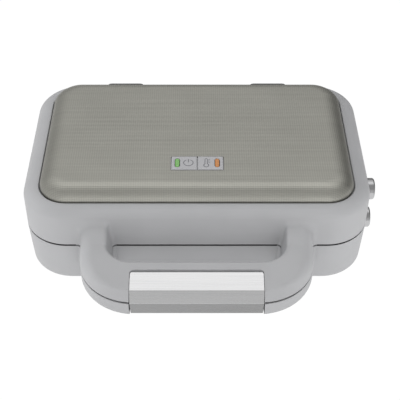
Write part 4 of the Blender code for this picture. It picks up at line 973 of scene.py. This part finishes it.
def floor(name, z, mat):
    mesh = bpy.data.meshes.new(name)
    k = 6.0
    mesh.from_pydata([(-k, -k, z), (k, -k, z), (k, k, z), (-k, k, z)], [], [(0, 1, 2, 3)])
    mesh.materials.append(mat)
    obj = bpy.data.objects.new(name, mesh)
    bpy.context.scene.collection.objects.link(obj)
    return obj


seen = floor("floor", -0.0002, plain("pale_floor", (0.02, 0.02, 0.02), (1, 1, 1), 1.0))
seen.visible_diffuse = seen.visible_glossy = seen.visible_transmission = seen.visible_shadow = False
FRONT_FLOOR, REAR_FLOOR = 0.12, 0.10
paper = plain("bounce_floor", (FRONT_FLOOR,) * 3, (1, 1, 1), 0.3)
bounce = floor("floor_bounce", -0.0004, paper)
bounce.visible_camera = bounce.visible_glossy = False
mirrored = plain("mirrored_floor", (0.12, 0.12, 0.12), (1, 1, 1), 0.3)
sheen = floor("floor_mirrored", -0.0003, mirrored)
sheen.visible_camera = sheen.visible_diffuse = sheen.visible_shadow = False


class Nodes:
    """Small helpers for a tree of plain number nodes."""

    def __init__(self, tree):
        self.t = tree

    def math(self, op, a, b=0.0, clamp=False):
        n = self.t.nodes.new("ShaderNodeMath")
        n.operation, n.use_clamp = op, clamp
        for i, v in enumerate((a, b)):
            if hasattr(v, "links"):
                self.t.links.new(v, n.inputs[i])
            else:
                n.inputs[i].default_value = v
        return n.outputs[0]

    def span(self, v, a0, a1, b0, b1):
        n = self.t.nodes.new("ShaderNodeMapRange")
        n.interpolation_type = "SMOOTHSTEP"
        self.t.links.new(v, n.inputs["Value"])
        for key, value in zip(("From Min", "From Max", "To Min", "To Max"), (a0, a1, b0, b1)):
            n.inputs[key].default_value = value
        return n.outputs["Result"]

    def split(self, v):
        n = self.t.nodes.new("ShaderNodeSeparateXYZ")
        self.t.links.new(v, n.inputs[0])
        return n.outputs

    def profile(self, v, stops, full):
        """A smooth curve through (position, value) stops, as a number."""
        ramp = self.t.nodes.new("ShaderNodeValToRGB")
        self.t.links.new(v, ramp.inputs["Fac"])
        els = ramp.color_ramp.elements
        els[0].position, els[1].position = stops[0][0], stops[-1][0]
        for e, (at, value) in [(els[0], stops[0]), (els[1], stops[-1])]:
            e.color = (value / full,) * 3 + (1,)
        for at, value in stops[1:-1]:
            els.new(at).color = (value / full,) * 3 + (1,)
        return self.math("MULTIPLY", ramp.outputs["Color"], full)


# The paper floor: bright in front of the object, falling off behind it.
ft = Nodes(paper.node_tree)
fx, fy, fz = ft.split(paper.node_tree.nodes.new("ShaderNodeTexCoord").outputs["Object"])
back = ft.span(fy, -0.10, 0.30, 0.0, 1.0)
shader = paper.node_tree.nodes["Principled BSDF"]
paper.node_tree.links.new(ft.math("SUBTRACT", 1.0, ft.math("MULTIPLY", back, 0.60)), shader.inputs["Emission Strength"])
fade = paper.node_tree.nodes.new("ShaderNodeMix")
fade.data_type = "RGBA"
paper.node_tree.links.new(back, fade.inputs["Factor"])
fade.inputs[6].default_value = (FRONT_FLOOR,) * 3 + (1,)
fade.inputs[7].default_value = (REAR_FLOOR,) * 3 + (1,)
paper.node_tree.links.new(fade.outputs[2], shader.inputs["Base Color"])

# What the metal mirrors of it: dim close to the handle, a painted shadow of the handle on the floor, brighter further
# out in front, dim behind.
gt = Nodes(mirrored.node_tree)
gx, gy, gz = gt.split(mirrored.node_tree.nodes.new("ShaderNodeTexCoord").outputs["Object"])
# spot is the painted shadow of the handle on the floor close to it, as the metal mirrors it.
spot = gt.math("MULTIPLY", gt.span(gy, -0.36, -0.16, 0.0, 1.0), gt.span(gt.math("ABSOLUTE", gx), 0.06, 0.13, 1.0, 0.0))
near = gt.math("MULTIPLY", gt.math("SUBTRACT", 0.78, gt.math("MULTIPLY", spot, 0.50)), gt.span(gt.math("ABSOLUTE", gx), 0.17, 0.38, 1.0, 0.45))
back = gt.span(gy, -0.05, 0.25, 0.0, 1.0)
right = gt.span(gx, 0.0, 0.30, 0.0, 1.0)
glow = gt.math("MULTIPLY", near, gt.math("SUBTRACT", 1.0, gt.math("MULTIPLY", back, gt.math("ADD", 0.30, gt.math("MULTIPLY", right, 0.45)))))
mirrored.node_tree.links.new(glow, mirrored.node_tree.nodes["Principled BSDF"].inputs["Emission Strength"])


def soft_box(name, at, size, watts):
    """A soft box that lights diffuse surfaces; the metal doesn't mirror it."""
    light = bpy.data.lights.new(name, "AREA")
    light.shape, light.size, light.size_y, light.energy = "RECTANGLE", size[0], size[1], watts
    obj = bpy.data.objects.new(name, light)
    bpy.context.scene.collection.objects.link(obj)
    obj.location = at
    ax, ay, az = -at[0], -at[1], 0.04 - at[2]
    flat = math.hypot(ax, ay)
    obj.rotation_euler = (math.atan2(flat, -az), 0.0, math.atan2(ay, ax) - math.pi / 2)
    obj.visible_glossy = obj.visible_camera = False
    return obj


soft_box("box_left_low", (-1.32, 0.42, 0.24), (0.9, 0.46), 3.8)
soft_box("box_left_high", (-1.22, 0.36, 0.64), (0.9, 0.46), 6.0)
soft_box("box_right_low", (1.38, 0.16, 0.26), (0.9, 0.50), 5.6)
soft_box("box_front", (0.20, -1.38, 0.30), (0.9, 0.46), 3.4)
soft_box("box_front_high", (0.0, -0.95, 0.95), (1.1, 0.55), 4.0)
soft_box("box_back_high", (0.0, 0.50, 1.25), (1.1, 0.60), 1.6)

world = bpy.data.worlds.new("studio")
bpy.context.scene.world = world
world.use_nodes = True
wt = Nodes(world.node_tree)
background = world.node_tree.nodes["Background"]
dx, dy, dz = wt.split(world.node_tree.nodes.new("ShaderNodeTexCoord").outputs["Generated"])

# Round the horizon: 0.5 is the front, 0.25 the left, 0.75 the right, 0 and 1 the back.
round_at = wt.math("MULTIPLY", wt.math("ADD", wt.math("DIVIDE", wt.math("ARCTAN2", dx, wt.math("MULTIPLY", dy, -1.0)), math.pi), 1.0), 0.5)
WALLS = [(0.0, 0.24), (0.09, 0.24), (0.15, 0.28), (0.22, 0.36), (0.30, 0.42), (0.40, 0.55), (0.50, 0.58), (0.60, 0.47), (0.70, 0.26), (0.78, 0.12), (0.84, 0.04), (0.91, 0.05), (1.0, 0.24)]
walls = wt.profile(round_at, WALLS, 1.0)
# Across the ceiling: 0 is the rear horizon, 0.5 overhead and 1 the front horizon.
turn = wt.math("DIVIDE", wt.math("ARCTAN2", dz, dy), math.pi)
CEILING = [(0.0, 0.46), (0.12, 0.52), (0.22, 0.54), (0.30, 0.64), (0.37, 0.98), (0.46, 1.0), (0.50, 0.72), (0.55, 0.38), (0.62, 0.34), (0.70, 0.35), (0.80, 0.33), (0.90, 0.44), (1.0, 0.58)]
ceiling = wt.profile(turn, CEILING, 1.0)
overhead = wt.math("MULTIPLY", wt.span(dz, 0.25, 0.60, 0.0, 1.0), wt.span(wt.math("ABSOLUTE", dx), 0.35, 0.80, 1.0, 0.0))
strength = wt.math("ADD", wt.math("MULTIPLY", walls, wt.math("SUBTRACT", 1.0, overhead)), wt.math("MULTIPLY", ceiling, overhead))
background.inputs["Color"].default_value = (1.0, 1.0, 1.0, 1.0)
world.node_tree.links.new(strength, background.inputs["Strength"])

camera = bpy.data.objects.new("camera", bpy.data.cameras.new("camera"))
bpy.context.scene.collection.objects.link(camera)
camera.location = (-0.00325, -0.57475, 0.556)
camera.rotation_euler = (math.radians(48.0), 0.0, 0.0)
camera.data.sensor_width = 36.0
camera.data.lens = 84.96
camera.data.shift_x = 3.25 / 400
camera.data.clip_start, camera.data.clip_end = 0.05, 50.0
bpy.context.scene.camera = camera
bpy.context.scene.view_settings.view_transform = "Standard"
bpy.context.scene.view_settings.look = "None"
